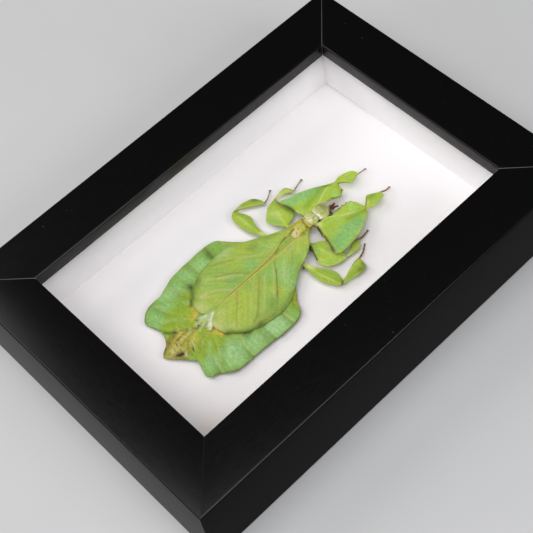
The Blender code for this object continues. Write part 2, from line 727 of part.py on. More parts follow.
def add_legs():
    for leg, (root, knee, ankle, claws, outer_lift, inner_lift) in LEG_HEIGHTS.items():
        toothed = leg in FEMUR_TEETH
        leg_leaf(
            f"femur_{leg}",
            (leg_root(leg), *FEMORA[leg]),
            (root, knee),
            (outer_lift, inner_lift),
            "leg_green",
            steps=3 if toothed else 2,
            teeth=FEMUR_TEETH.get(leg, (0, 0)),
            tooth=TOOTH if toothed else 0.0,
        )
        leg_leaf(f"tibia_{leg}", TIBIAE[leg], (knee, ankle), (0.4, 0.2), "leg_green")
        add_tarsus(leg, ankle, claws)


def add_trunk():
    for segment, stations in TRUNK.items():
        trunk(segment, stations, TRUNK_FINISH[segment], keel=KEEL)


def add_eye(side, sign):
    """A low dome whose flat foot faces the head's flank, square to it."""
    rear, middle, front = (
        Vector((trunk_side("head", station[1], sign), station[1]))
        for station in TRUNK["head"][EYE_STATION - 1 : EYE_STATION + 2]
    )
    outward = (front - rear).orthogonal().normalized() * -sign
    z = TRUNK["head"][EYE_STATION][2] - EYE_DROP
    path = []
    radii = []
    for number in range(EYE_RINGS):
        angle = math.pi / 2 * number / EYE_RINGS
        spot = middle + outward * (GAP + EYE_DEPTH * math.sin(angle))
        path.append((spot.x, spot.y, z))
        radii.append(EYE_RADIUS * math.cos(angle))
    tube(f"eye_{side}", path, radii, "eye_brown", sides=12)


def add_antenna(side, sign):
    """Short and beaded, in an arch forward from the brow."""
    root_x, root_y, root_z = TRUNK["head"][-1][:3]
    path = []
    radii = []
    for number in range(ANTENNA_BEADS + 1):
        fraction = number / ANTENNA_BEADS
        x = root_x + sign * ANTENNA_SPACING * (1 + fraction) + ANTENNA_RISE * fraction
        y = root_y + BROW_CLEARANCE + ANTENNA_LENGTH * fraction
        path.append((x, y, root_z + ANTENNA_RISE + math.sin(2 * fraction)))
        radii.append(ANTENNA_RADIUS * (BEAD_WAIST if number % 2 else 1) * (1 - 0.35 * fraction))
    tube(f"antenna_{side}", path, radii, "dry_brown")


def add_face():
    for side, sign in (("left", -1), ("right", 1)):
        add_eye(side, sign)
        add_antenna(side, sign)
    x, y, z = TRUNK["head"][-1][:3]
    palps = [(x + 0.3 * step, y + GAP + 0.9 * step, z - 0.8 - 0.3 * step) for step in range(3)]
    tube("mouthparts", palps, (0.75, 0.7, 0.4), "dry_brown")


def build():
    add_case()
    leaf_body("abdomen", abdomen_rows(ABDOMEN, 2, ABDOMEN_CREASES), "leaf_green")
    leaf_body("abdomen_tip", abdomen_rows(TAIL, 2), "tail_brown")
    leaf_body("tegmen_left", tegmen_rows(TEGMEN_LEFT, (3, 5, 7, 9)), "wing_green")
    leaf_body("tegmen_right", tegmen_rows(TEGMEN_RIGHT, (4, 6, 8, 10)), "wing_green")
    add_trunk()
    add_face()
    add_legs()


clear_scene()
PARTS = new_collection("leaf_insect")
build()
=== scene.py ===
import math

import bmesh
import bpy
import numpy as np
from mathutils import Matrix, Vector, noise


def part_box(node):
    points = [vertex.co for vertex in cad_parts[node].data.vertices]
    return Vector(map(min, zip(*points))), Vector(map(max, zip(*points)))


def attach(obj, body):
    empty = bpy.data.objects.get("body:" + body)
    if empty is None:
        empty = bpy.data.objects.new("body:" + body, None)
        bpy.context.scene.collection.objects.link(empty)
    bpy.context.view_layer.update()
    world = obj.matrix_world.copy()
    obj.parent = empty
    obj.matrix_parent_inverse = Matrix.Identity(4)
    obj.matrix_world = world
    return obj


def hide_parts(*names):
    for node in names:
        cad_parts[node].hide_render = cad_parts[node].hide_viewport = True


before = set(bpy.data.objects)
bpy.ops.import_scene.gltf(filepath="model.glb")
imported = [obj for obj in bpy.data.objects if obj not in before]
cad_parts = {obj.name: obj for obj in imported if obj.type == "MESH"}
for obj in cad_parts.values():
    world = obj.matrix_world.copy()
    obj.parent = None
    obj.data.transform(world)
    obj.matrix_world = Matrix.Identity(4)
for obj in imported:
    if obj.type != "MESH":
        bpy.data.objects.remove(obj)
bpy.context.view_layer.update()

mm = 0.001

# The insect was measured on one level above the board, along sight lines from the camera.
# A point of another height stands where its own sight line reaches that height.
planLevel = 11.5
viewPoint = np.array((229.4, -161.445, 435.27))

print("frame loaded:", len(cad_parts), "nodes")


def paint(red, green, blue, share=1.0):
    # screen colour, 0 to 255, as the linear colour that a socket takes
    levels = [c * share / 255 for c in (red, green, blue)]
    return (*[c / 12.92 if c < 0.04045 else ((c + 0.055) / 1.055) ** 2.4 for c in levels], 1)


def seenAt(x, y, z):
    # metres, from plan millimetres and a height; arrays or numbers
    x, y, z = np.broadcast_arrays(np.asarray(x, float), y, z)
    along = (z - planLevel) / (viewPoint[2] - planLevel)
    return np.stack((x + (viewPoint[0] - x) * along, y + (viewPoint[1] - y) * along, z), -1) * mm


def planOf(points):
    # back from metres to plan millimetres
    p = points / mm
    return viewPoint + (p - viewPoint) * ((viewPoint[2] - planLevel) / (viewPoint[2] - p[:, 2]))[:, None]


def seenPath(line):
    # points in millimetres, from plan places with a height
    return [tuple(seenAt(*p) / mm) for p in line]


def smooth(low, high, value):
    t = np.clip((np.asarray(value, float) - low) / (high - low), 0, 1)
    return t * t * (3 - 2 * t)


def ridge(value, centre, width):
    # 1 at the centre, falling off softly on both sides
    return np.exp(-(((value - centre) / width) ** 2))


def blend(pairs, at):
    # smooth value at each place, between (place, value) pairs
    places, values = np.array(pairs, float).T
    at = np.clip(at, places[0], places[-1])
    low = np.clip(np.searchsorted(places, at) - 1, 0, len(places) - 2)
    t = (at - places[low]) / (places[low + 1] - places[low])
    return values[low] + (values[low + 1] - values[low]) * t * t * (3 - 2 * t)


def through(stations, at):
    # rows on a smooth curve through all stations, at places counted in stations
    table = np.array(stations, float)
    last = len(table) - 1
    low = np.clip(np.floor(at).astype(int), 0, last - 1)
    step = (at - low)[:, None]
    before, first = table[np.maximum(low - 1, 0)], table[low]
    second, after = table[low + 1], table[np.minimum(low + 2, last)]
    slopeIn, slopeOut = (second - before) / 2, (after - first) / 2
    return (
        first
        + slopeIn * step
        + (3 * (second - first) - 2 * slopeIn - slopeOut) * step**2
        + (2 * (first - second) + slopeIn + slopeOut) * step**3
    )


def stationRows(stations, perStation):
    # the last station, places counted in stations, and the smooth rows there
    last = len(stations) - 1
    at = np.linspace(0, last, last * perStation + 1)
    return last, at, through(stations, at)


def cloud(x, y, size, seed=0.0):
    # smooth noise from about -1 to 1, with lumps of that size in millimetres
    x, y = np.broadcast_arrays(np.asarray(x, float), np.asarray(y, float))
    values = [noise.noise(Vector((a / size, b / size, seed))) for a, b in zip(x.ravel(), y.ravel())]
    return np.array(values).reshape(x.shape)


def lineDistance(x, y, line):
    # distance in millimetres to an open line
    best = np.full(np.shape(x), 99.0)
    for (ax, ay), (bx, by) in zip(line, line[1:]):
        dx, dy = bx - ax, by - ay
        t = np.clip(((x - ax) * dx + (y - ay) * dy) / (dx * dx + dy * dy), 0, 1)
        best = np.minimum(best, np.hypot(x - ax - t * dx, y - ay - t * dy))
    return best


def curved(line, steps=8):
    # a line through the given points, with rounded bends
    return [tuple(p) for p in stationRows(line, steps)[2]]


def spots(x, y, marks):
    # soft marks: x, y, radius, strength
    total = np.zeros(np.shape(x))
    for cx, cy, radius, strength in marks:
        total += strength * np.exp(-((x - cx) ** 2 + (y - cy) ** 2) / radius**2)
    return total


def strokes(x, y, marks):
    # soft lines: width, strength, then the points
    total = np.zeros(np.shape(x))
    for width, strength, *line in marks:
        total += strength * ridge(lineDistance(x, y, curved(line, 5)), 0, width)
    return total


def allStrokes(x, y, v, *labels):
    return [strokes(x, y, v[label]) for label in labels]


def edgeFullness(edge, radius, least=0.02):
    # share of a sheet's thickness at a distance from its rounded margin
    return np.sqrt(np.clip(1 - (1 - np.clip(edge / radius, 0, 1)) ** 2, least, 1))


def placed(name, data):
    thing = bpy.data.objects.new(name, data)
    bpy.context.scene.collection.objects.link(thing)
    return thing


def finishMesh(name, mesh, material, shade=True):
    mesh.materials.append(material)
    if shade:
        mesh.shade_smooth()
    return placed(name, mesh)


def addLayers(mesh, layers):
    for label, values in layers.items():
        values = np.ascontiguousarray(values, np.float32)
        layer = mesh.attributes.new(label, "FLOAT_VECTOR", "POINT")
        layer.data.foreach_set("vector", values.ravel())


def bridge(form, rings, loop=False):
    # walls between neighbouring rings; the first and last are closed, or joined in a loop
    walls = []
    for first, second in zip(rings, rings[1:] + rings[:1] if loop else rings[1:]):
        for corner in range(len(first)):
            following = (corner + 1) % len(first)
            wall = (first[corner], first[following], second[following], second[corner])
            walls.append(form.faces.new(wall))
    if not loop:
        form.faces.new(rings[0])
        form.faces.new(rings[-1])
    return walls


def meshOf(name, form, mesh=None):
    # the form as a mesh with its faces turned outwards
    bmesh.ops.recalc_face_normals(form, faces=form.faces[:])
    mesh = mesh or bpy.data.meshes.new(name)
    form.to_mesh(mesh)
    form.free()
    return mesh


def closedSheet(name, x, y, middle, half, layers, material):
    # one closed skin over a grid of plan places, half its thickness above the middle and half below
    level, rise = seenAt(x, y, middle), (half * mm)[..., None] * (0, 0, 1)
    points = np.concatenate(((level + rise).reshape(-1, 3), (level - rise).reshape(-1, 3)))
    count = x.size
    index = np.arange(count).reshape(x.shape)
    upper = np.stack((index[:-1, :-1], index[:-1, 1:], index[1:, 1:], index[1:, :-1]), -1).reshape(-1, 4)
    rim = np.concatenate((index[0, :-1], index[:-1, -1], index[-1, :0:-1], index[:0:-1, 0]))
    following = np.roll(rim, -1)
    walls = np.stack((following, rim, rim + count, following + count), -1)
    mesh = bpy.data.meshes.new(name)
    mesh.from_pydata(points.tolist(), [], np.concatenate((upper, upper[:, ::-1] + count, walls)).tolist())
    addLayers(mesh, {label: np.concatenate((v.reshape(count, -1),) * 2) for label, v in layers.items()})
    form = bmesh.new()
    form.from_mesh(mesh)
    return finishMesh(name, meshOf(name, form, mesh), material)


def settle(piece, slotName, *nodes):
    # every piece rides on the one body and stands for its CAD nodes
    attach(piece, "root")
    if nodes:
        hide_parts(*nodes)
    return piece


cameraView = {
    "right": (0.68858, 0.71723, -0.10693),
    "down": (0.56703, -0.62446, -0.53714),
    "forward": (-0.45203, 0.30923, -0.83669),
    "lens": 90.156,
    "sensor": 36.0,
    "clip": (0.01, 20),
}


def makeCamera(v):
    data = bpy.data.cameras.new("photoCamera")
    data.lens = v["lens"]
    data.sensor_width = v["sensor"]
    data.clip_start, data.clip_end = v["clip"]
    camera = placed("photoCamera", data)
    axes = Matrix((v["right"], [-c for c in v["down"]], [-c for c in v["forward"]])).transposed()
    camera.matrix_world = Matrix.Translation(Vector(viewPoint) * mm) @ axes.to_4x4()
    bpy.context.scene.camera = camera


makeCamera(cameraView)

studio = {
    "floor": (196, 197, 196),
    "floorSize": 3.0,
    "floorDrop": 0.0002,
    "sky": (196, 202, 210),
    "skyStrength": 0.06,
    # name: azimuth and elevation in degrees, distance, width, height, power in watts, colour
    "lights": {
        "key": (205, 42, 1.1, 0.6, 0.6, 3.9, (255, 251, 248)),
        "front": (-64, 73, 1.3, 1.15, 1.15, 14.4, (253, 252, 255)),
        "side": (12, 38, 1.3, 0.6, 0.5, 4.9, (250, 250, 255)),
        "low": (-104, 32, 1.1, 0.6, 0.4, 1.5, (248, 248, 255)),
    },
    "aim": (0, 0, 0.012),
}


def makeStudio(v):
    scene = bpy.context.scene
    world = bpy.data.worlds.new("studioSky")
    scene.world = world
    world.use_nodes = True
    background = world.node_tree.nodes["Background"]
    background.inputs["Color"].default_value = paint(*v["sky"])
    background.inputs["Strength"].default_value = v["skyStrength"]
    aim = Vector(v["aim"])
    for label, (azimuth, elevation, distance, width, height, power, tint) in v["lights"].items():
        data = bpy.data.lights.new(label, "AREA")
        data.shape = "RECTANGLE"
        data.size, data.size_y = width, height
        data.energy = power
        data.color = paint(*tint)[:3]
        az, el = math.radians(azimuth), math.radians(elevation)
        away = Vector((math.cos(az) * math.cos(el), math.sin(az) * math.cos(el), math.sin(el)))
        turn = away.to_track_quat("Z", "Y").to_matrix().to_4x4()
        placed(label, data).matrix_world = Matrix.Translation(aim + away * distance) @ turn
    half = v["floorSize"] / 2
    mesh = bpy.data.meshes.new("studioFloor")
    corners = [(x * half, y * half, 0) for x, y in ((-1, -1), (1, -1), (1, 1), (-1, 1))]
    mesh.from_pydata(corners, [], [(0, 1, 2, 3)])
    floor = finishMesh("studioFloor", mesh, floorFinish(v["floor"]), shade=False)
    floor.location.z = -v["floorDrop"]
    scene.view_settings.view_transform = "Standard"


def startMaterial(name):
    material = bpy.data.materials.new(name)
    material.use_nodes = True
    return material, material.node_tree, material.node_tree.nodes["Principled BSDF"]


def feed(tree, socket, value):
    # a link where the value is a socket, else a plain number or colour
    if isinstance(value, bpy.types.NodeSocket):
        tree.links.new(value, socket)
    else:
        socket.default_value = value


def feedAll(tree, node, values):
    for label, value in values.items():
        feed(tree, node.inputs[label], value)


def addNode(tree, kind, values, **settings):
    node = tree.nodes.new("ShaderNode" + kind)
    for key, value in settings.items():
        setattr(node, key, value)
    feedAll(tree, node, values)
    return node.outputs


def calc(tree, operation, first, second=0.0, clamp=False):
    return addNode(tree, "Math", {0: first, 1: second}, operation=operation, use_clamp=clamp)[0]


def times(tree, first, second, clamp=False):
    return calc(tree, "MULTIPLY", first, second, clamp)


def plus(tree, total, *terms):
    for term in terms:
        total = calc(tree, "ADD", total, term)
    return total


def weighted(tree, *pairs):
    # the sum of values, each times its weight
    return plus(tree, *[times(tree, value, weight) for value, weight in pairs])


def ramp(tree, value, low, high, start=0.0, end=1.0):
    values = {"Value": value, "From Min": low, "From Max": high, "To Min": start, "To Max": end}
    return addNode(tree, "MapRange", values, interpolation_type="SMOOTHSTEP")["Result"]


def mixColor(tree, amount, first, second, mode="MIX"):
    # inputs 0, 6 and 7 are the factor and the two colours
    values = {0: amount, 6: first, 7: second}
    return addNode(tree, "Mix", values, data_type="RGBA", blend_type=mode, clamp_factor=True)[2]


def noiseOf(tree, place, scale, detail=3.0, rough=0.55):
    values = {"Vector": place, "Scale": scale, "Detail": detail, "Roughness": rough}
    return addNode(tree, "TexNoise", values)["Fac"]


def millimetres(tree, stretch=(1, 1, 1)):
    # the surface's own place, in millimetres
    place = tree.nodes.new("ShaderNodeTexCoord").outputs["Object"]
    return addNode(tree, "VectorMath", {0: place, 1: [1000 * s for s in stretch]}, operation="MULTIPLY")[0]


def layerOf(tree, label):
    return addNode(tree, "Attribute", {}, attribute_name=label)["Vector"]


def split(tree, vector):
    return addNode(tree, "SeparateXYZ", {0: vector})


def bump(tree, height, distance):
    return addNode(tree, "Bump", {"Height": height, "Distance": distance * mm, "Strength": 1.0})["Normal"]


def startGroup(name, inputs, outputs):
    group = bpy.data.node_groups.new(name, "ShaderNodeTree")
    for label, kind, value in inputs:
        socket = group.interface.new_socket(label, in_out="INPUT", socket_type="NodeSocket" + kind)
        if value is not None:
            socket.default_value = value
    for label, kind in outputs:
        group.interface.new_socket(label, in_out="OUTPUT", socket_type="NodeSocket" + kind)
    return group, group.nodes.new("NodeGroupInput").outputs, group.nodes.new("NodeGroupOutput")


def useGroup(tree, group, **values):
    return addNode(tree, "Group", values, node_tree=group)


leafColors = ("young", "old", "mint", "vein", "rim", "brown", "amber", "pale", "dark")
leafSkin = {
    # patch, mottle, fine, grit: scale per millimetre, detail, roughness
    "noise": ((0.28, 4.0, 0.6), (0.9, 4.0, 0.65), (2.6, 3.0, 0.6), (7.0, 2.0, 0.5)),
    "streak": (1.0, 3.0, 0.6),
    # each stain's colour, and its strength where the noise is lowest and highest
    "stains": {
        "mint": ("mint", 0.3, 1.5),
        "midrib": ("vein", 0.45, 1.1),
        "fold": ("vein", 0.1, 1.1),
        "rim": ("rim", 0.5, 1.3),
        "pale": ("pale", 0.5, 1.5),
        "amber": ("amber", 0.4, 1.6),
        "brown": ("brown", 0.3, 1.7),
        "dark": ("dark", 0.5, 1.5),
    },
    # width and strength of the fine net of veins
    "net": (0.12, 0.12),
    "roughness": (0.42, 0.62),
    # height of the fine noise, grit, net, streaks and midrib
    "relief": (0.6, 0.3, 0.3, 0.8, 0.6),
    "gloss": 0.35,
}


def makeLeafGroup(v):
    group, entry, leaving = startGroup(
        "leafSkin",
        [(label, "Vector", None) for label in ("place", "flow", "stain", "lines", "touch")]
        + [(label, "Color", None) for label in leafColors]
        + [("veinWidth", "Float", 0.3), ("rimWidth", "Float", 0.4), ("netSize", "Float", 1.0)],
        [("Color", "Color"), ("Roughness", "Float"), ("Height", "Float")],
    )

    def sway(value, amount):
        return times(group, calc(group, "SUBTRACT", value, 0.5), amount)

    place = entry["place"]
    tone, brown, dark = split(group, entry["stain"])
    veinLine, margin, fold = split(group, entry["lines"])
    pale, amber, mint = split(group, entry["touch"])
    patch, mottle, fine, grit = [noiseOf(group, place, *numbers) for numbers in v["noise"]]
    streak = noiseOf(group, entry["flow"], *v["streak"])
    shifted = calc(group, "ADD", tone, plus(group, sway(patch, 1.0), sway(mottle, 1.3)), clamp=True)
    light = plus(group, 1.0, sway(fine, 0.4), sway(streak, 0.5), sway(mottle, 0.7))
    netScale = calc(group, "DIVIDE", 1.0, entry["netSize"])
    net = addNode(group, "TexVoronoi", {"Vector": place, "Scale": netScale}, feature="DISTANCE_TO_EDGE")
    netWidth, netStrength = v["net"]
    netLine = ramp(group, net["Distance"], 0.0, netWidth, 1.0, 0.0)
    ragged = plus(group, veinLine, sway(fine, 0.25))
    veinMask = ramp(group, ragged, times(group, entry["veinWidth"], 0.3), entry["veinWidth"], 1.0, 0.0)
    rimMask = ramp(group, plus(group, margin, sway(patch, 0.8)), 0.0, entry["rimWidth"], 0.9, 0.0)

    def stained(base, label, mask, by):
        # a mask broken up by noise
        color, least, most = v["stains"][label]
        broken = plus(group, least, times(group, by, most - least))
        return mixColor(group, times(group, mask, broken, True), base, entry[color])

    base = mixColor(group, shifted, entry["young"], entry["old"])
    base = stained(base, "mint", mint, mottle)
    base = mixColor(group, 1.0, base, light, "MULTIPLY")
    base = mixColor(group, times(group, netLine, netStrength), base, entry["vein"])
    broad = {"midrib": veinMask, "fold": fold, "rim": rimMask, "pale": pale, "amber": amber}
    for label, mask in broad.items():
        base = stained(base, label, mask, mottle)
    for label, mask in {"brown": brown, "dark": dark}.items():
        base = stained(base, label, mask, fine)
    relief = weighted(group, *zip((fine, grit, netLine, streak, veinMask), v["relief"]))
    roughness = ramp(group, fine, 0.2, 0.8, *v["roughness"])
    feedAll(group, leaving, {"Color": base, "Roughness": roughness, "Height": relief})
    return group


leafGroup = makeLeafGroup(leafSkin)


def leafFinish(name, colors, veinWidth=0.3, rimWidth=0.4, netSize=1.0, depth=0.12):
    material, tree, shader = startMaterial(name)
    skin = useGroup(
        tree,
        leafGroup,
        place=millimetres(tree),
        veinWidth=veinWidth,
        rimWidth=rimWidth,
        netSize=netSize,
        **{label: layerOf(tree, label) for label in ("flow", "stain", "lines", "touch")},
        **{label: paint(*colors[label]) for label in leafColors},
    )
    relief = bump(tree, skin["Height"], depth)
    feedAll(tree, shader, {"Base Color": skin["Color"], "Roughness": skin["Roughness"], "Normal": relief})
    feedAll(tree, shader, {"Specular IOR Level": leafSkin["gloss"]})
    return material


def skinLayers(x, flow, tone=0, brown=0, dark=0, vein=9, margin=9, fold=0, pale=0, amber=0, mint=0):
    # what the leaf shader reads at each point; vein and margin are distances in millimetres
    groups = {
        "stain": (tone, brown, dark),
        "lines": (vein, margin, fold),
        "touch": (pale, amber, mint),
        "flow": (*flow, 0),
    }
    return {label: np.stack([part + 0 * x for part in parts], -1) for label, parts in groups.items()}


def makeDustGroup():
    group, entry, leaving = startGroup(
        "dustSpecks",
        [("place", "Vector", None)]
        + [("spacing", "Float", 3.0), ("size", "Float", 0.09), ("share", "Float", 0.5)],
        [("Mask", "Float")],
    )
    scale = calc(group, "DIVIDE", 1.0, entry["spacing"])
    cells = addNode(group, "TexVoronoi", {"Vector": entry["place"], "Scale": scale})
    speck = ramp(group, cells["Distance"], 0.0, entry["size"], 1.0, 0.0)
    chosen = calc(group, "LESS_THAN", split(group, cells["Color"])[0], entry["share"])
    feedAll(group, leaving, {"Mask": times(group, speck, chosen)})
    return group


dustGroup = makeDustGroup()


def floorFinish(color):
    material, tree, shader = startMaterial("studioFloor")
    tone = noiseOf(tree, millimetres(tree), 0.02, 3.0)
    base = mixColor(tree, tone, paint(*[c - 3 for c in color]), paint(*[c + 3 for c in color]))
    feedAll(tree, shader, {"Base Color": base, "Roughness": 0.75, "Specular IOR Level": 0.2})
    return material


makeStudio(studio)
print("camera and studio ready")

case = {
    "width": 134.0,
    "length": 190.0,
    "depth": 35.0,
    "face": 21.0,
    "lip": 6.0,
    "overhang": 5.3,
    "arris": 0.7,
    "hairline": 0.06,
    # each rail's end is sunk, then a narrow band of painted highlight leads to the clean paint
    "mitreSteps": (0, 0.1, 0.16),
    "mitreSunk": 0.08,
    "paint": (8, 8, 8),
    "speck": (120, 116, 112),
    # scale, detail and roughness of the paint's grain and peel, its range of roughness and its relief
    "grain": (1.6, 4.0, 0.6),
    "peel": (3.5, 2.0, 0.5),
    "paintRough": (0.19, 0.26),
    "paintRelief": (0.6, 0.5, 1.0),
    "paintBump": 0.012,
    # dust and lint: spacing, size and share of the places that hold a speck
    "dust": {"spacing": 2.3, "size": 0.07, "share": 0.35},
    "lint": {"spacing": 5.0, "size": 0.06, "share": 0.3},
    # gloss of the paint on top and inside, then on the outer faces
    "shine": (0.3, 0.02),
    "card": (238, 235, 234),
    # the lining's card, paler than the board's: painted light on the walls under the lip
    "wall": (247, 245, 245),
    "board": (132, 94, 62),
    "steel": (178, 178, 176),
    # painted highlight along the mitres, pale paint for the light line each mitre catches: left and head
    # rails, then the dimmer foot rail
    "mitreHighlight": (128, 120, 116),
    "footMitreHighlight": (44, 46, 50),
    # the card lining: thickness, corner radius, cove at its foot, how far it has lifted near one corner
    "lining": (3.0, 0.8, 0.12, 0.3),
    "chamfer": 0.15,
    # painted shade on the board: darker towards the foot, and warm-toned and darker still around one foot
    # corner
    "cornerShadeColor": (186, 170, 154),
    "cornerShadePlace": (47, -68, 8),
    "cornerShadeReach": (2.0, 26.0, 0.75),
    "footShade": 0.975,
    "cardDust": (150, 145, 140),
    "cardSpecks": {"spacing": 9.0, "size": 0.035, "share": 0.25},
    "cardBump": 0.0035,
    "glass": {
        "Base Color": (1, 1, 1, 1),
        "Roughness": 0.0,
        "IOR": 1.03,
        "Coat Weight": 0.3,
        "Coat Roughness": 0.0,
        "Transmission Weight": 1.0,
    },
}


def blackPaintFinish(v, name, stretch, shine):
    material, tree, shader = startMaterial(name)
    place = millimetres(tree)
    grain = noiseOf(tree, millimetres(tree, stretch), *v["grain"])
    peel = noiseOf(tree, place, *v["peel"])
    specks = useGroup(tree, dustGroup, place=place, **v["dust"])["Mask"]
    lint = useGroup(tree, dustGroup, place=millimetres(tree, (0.4, 1.7, 1)), **v["lint"])["Mask"]
    dust = calc(tree, "MAXIMUM", specks, lint)
    base = mixColor(tree, times(tree, dust, 0.3), paint(*v["paint"]), paint(*v["speck"]))
    # painted highlight: pale paint along the mitre bevels
    mitreHighlight = split(tree, layerOf(tree, "mitreHighlight"))
    base = mixColor(tree, mitreHighlight[0], base, paint(*v["mitreHighlight"]))
    base = mixColor(tree, mitreHighlight[1], base, paint(*v["footMitreHighlight"]))
    relief = bump(tree, weighted(tree, *zip((grain, peel, dust), v["paintRelief"])), v["paintBump"])
    feedAll(tree, shader, {"Base Color": base, "Roughness": ramp(tree, grain, 0.2, 0.8, *v["paintRough"])})
    feedAll(tree, shader, {"Specular IOR Level": shine, "Normal": relief})
    return material


def cardFinish(v, name, white):
    material, tree, shader = startMaterial(name)
    place = millimetres(tree)
    fibre = noiseOf(tree, place, 1.8, 4.0, 0.6)
    cast = noiseOf(tree, place, 0.03, 2.0)
    # painted shade: the card darkens towards the foot and, warm-toned, around one foot corner
    corner = addNode(tree, "VectorMath", {0: place, 1: v["cornerShadePlace"]}, operation="DISTANCE")["Value"]
    near, far, shadeDepth = v["cornerShadeReach"]
    cornerShade = ramp(tree, corner, near, far, shadeDepth, 0.0)
    footward = ramp(tree, split(tree, place)[1], -20.0, -72.0, 0.0, 1.0)
    specks = useGroup(tree, dustGroup, place=place, **v["cardSpecks"])["Mask"]
    base = mixColor(tree, cast, paint(*white), paint(*[min(255, c + 3) for c in white]))
    base = mixColor(tree, footward, base, paint(*white, share=v["footShade"]))
    base = mixColor(tree, cornerShade, base, paint(*v["cornerShadeColor"]))
    base = mixColor(tree, times(tree, specks, 0.5), base, paint(*v["cardDust"]))
    feedAll(tree, shader, {"Base Color": base, "Roughness": 0.75, "Specular IOR Level": 0.25})
    feedAll(tree, shader, {"Normal": bump(tree, fibre, v["cardBump"])})
    return material


def hardboardFinish(v):
    material, tree, shader = startMaterial("hardboard")
    fibre = noiseOf(tree, millimetres(tree, (1, 0.35, 1)), 1.2, 5.0, 0.65)
    base = mixColor(tree, fibre, paint(*v["board"], share=0.78), paint(*v["board"]))
    grain = noiseOf(tree, millimetres(tree), 2.5, 3.0)
    feedAll(tree, shader, {"Base Color": base, "Roughness": 0.72, "Normal": bump(tree, grain, 0.05)})
    return material


def steelFinish(v):
    material, tree, shader = startMaterial("tabSteel")
    brushed = noiseOf(tree, millimetres(tree, (0.3, 6, 1)), 1.4, 3.0)
    base = mixColor(tree, brushed, paint(*v["steel"], share=0.85), paint(*v["steel"]))
    roughness = ramp(tree, brushed, 0.2, 0.8, 0.28, 0.45)
    feedAll(tree, shader, {"Base Color": base, "Metallic": 1.0, "Roughness": roughness})
    return material


def glassFinish(v):
    # light passes straight through for shadows and soft bounces, so the pane never darkens the board
    material, tree, shader = startMaterial("paneGlass")
    feedAll(tree, shader, v["glass"])
    path = tree.nodes.new("ShaderNodeLightPath").outputs
    indirect = calc(tree, "MAXIMUM", path["Is Shadow Ray"], path["Is Diffuse Ray"])
    mirrored = calc(tree, "SUBTRACT", path["Is Glossy Ray"], path["Is Transmission Ray"], True)
    clear = calc(tree, "MAXIMUM", indirect, mirrored)
    plain = tree.nodes.new("ShaderNodeBsdfTransparent").outputs[0]
    mixed = addNode(tree, "MixShader", {0: clear, 1: shader.outputs[0], 2: plain})
    feedAll(tree, tree.nodes["Material Output"], {"Surface": mixed[0]})
    return material


def railSection(v):
    # outline of a rail, outwards and upwards from the opening's edge, with rounded arrises on top
    r = v["arris"]
    face, depth, lip, over = v["face"], v["depth"], v["lip"], v["overhang"]
    points = []
    for cx, cz, first in ((r, depth - r, 180), (face - r, depth - r, 90)):
        for step in range(7):
            angle = math.radians(first - 15 * step)
            points.append((cx + r * math.cos(angle), cz + r * math.sin(angle)))
    points += [(face, 0.4), (face - 0.4, 0), (over + 0.3, 0), (over, 0.3), (over, depth - lip)]
    return points + [(0.25, depth - lip), (0, depth - lip + 0.25)]


def makeRail(v, side, turns, paints):
    section = railSection(v)
    across, along = v["width"] / 2 - v["face"], v["length"] / 2 - v["face"]
    if turns % 2:
        across, along = along, across
    centre = Vector((v["face"] / 2, v["depth"] / 2))
    form = bmesh.new()
    highlightLayer = form.verts.layers.float_vector.new("mitreHighlight")
    rings = []
    steps = v["mitreSteps"]
    for end, ease in [(-1, ease) for ease in steps] + [(1, ease) for ease in steps[::-1]]:
        ring = []
        # the mitre at the right foot corner gets the dimmer painted highlight
        foot = (side == "foot" and end > 0) or (side == "right" and end < 0)
        sunk = 0.0 if ease else v["mitreSunk"]
        for out, height in section:
            reach = along + out - v["hairline"] / 2 - ease
            inward = (centre - Vector((out, height))).normalized() * sunk
            spot = Vector((across + out + inward.x, end * reach, height + inward.y))
            vert = form.verts.new(spot * mm)
            fade = min(1, max(0.25, 1.1 - out / v["face"])) if ease < steps[-1] else 0
            vert[highlightLayer] = (0, fade, 0) if foot else (fade, 0, 0)
            ring.append(vert)
        rings.append(ring)
    for number, wall in enumerate(bridge(form, rings)):
        out, height = section[number % len(section)]
        outside = min(out, section[(number + 1) % len(section)][0]) > v["face"] - 0.5
        wall.material_index = int(outside and height < v["depth"] - 0.3)
    form.transform(Matrix.Rotation(math.pi / 2 * turns, 4, "Z"))
    mesh = meshOf(f"rail_{side}", form)
    rail = finishMesh(f"rail_{side}", mesh, paints[0])
    mesh.materials.append(paints[1])
    mesh.set_sharp_from_angle(angle=math.radians(40))
    return settle(rail, "frame_black", f"case_rail_{side}")


def liningPath(insideX, insideY, radius, straight=24, bend=6):
    # round the four corners: centre x, y and the direction outwards
    path = []
    for cx, cy, first in ((1, 1, 0), (-1, 1, 90), (-1, -1, 180), (1, -1, 270)):
        centre = (cx * (insideX - radius), cy * (insideY - radius))
        for step in range(bend + 1):
            angle = math.radians(first + 90 / bend * step)
            path.append((*centre, math.cos(angle), math.sin(angle)))
        if first == 0:
            # more places along the head side, where the foot has lifted
            for step in range(1, straight):
                path.append(((insideX - radius) * (1 - 2 * step / straight), centre[1], 0.0, 1.0))
    return path


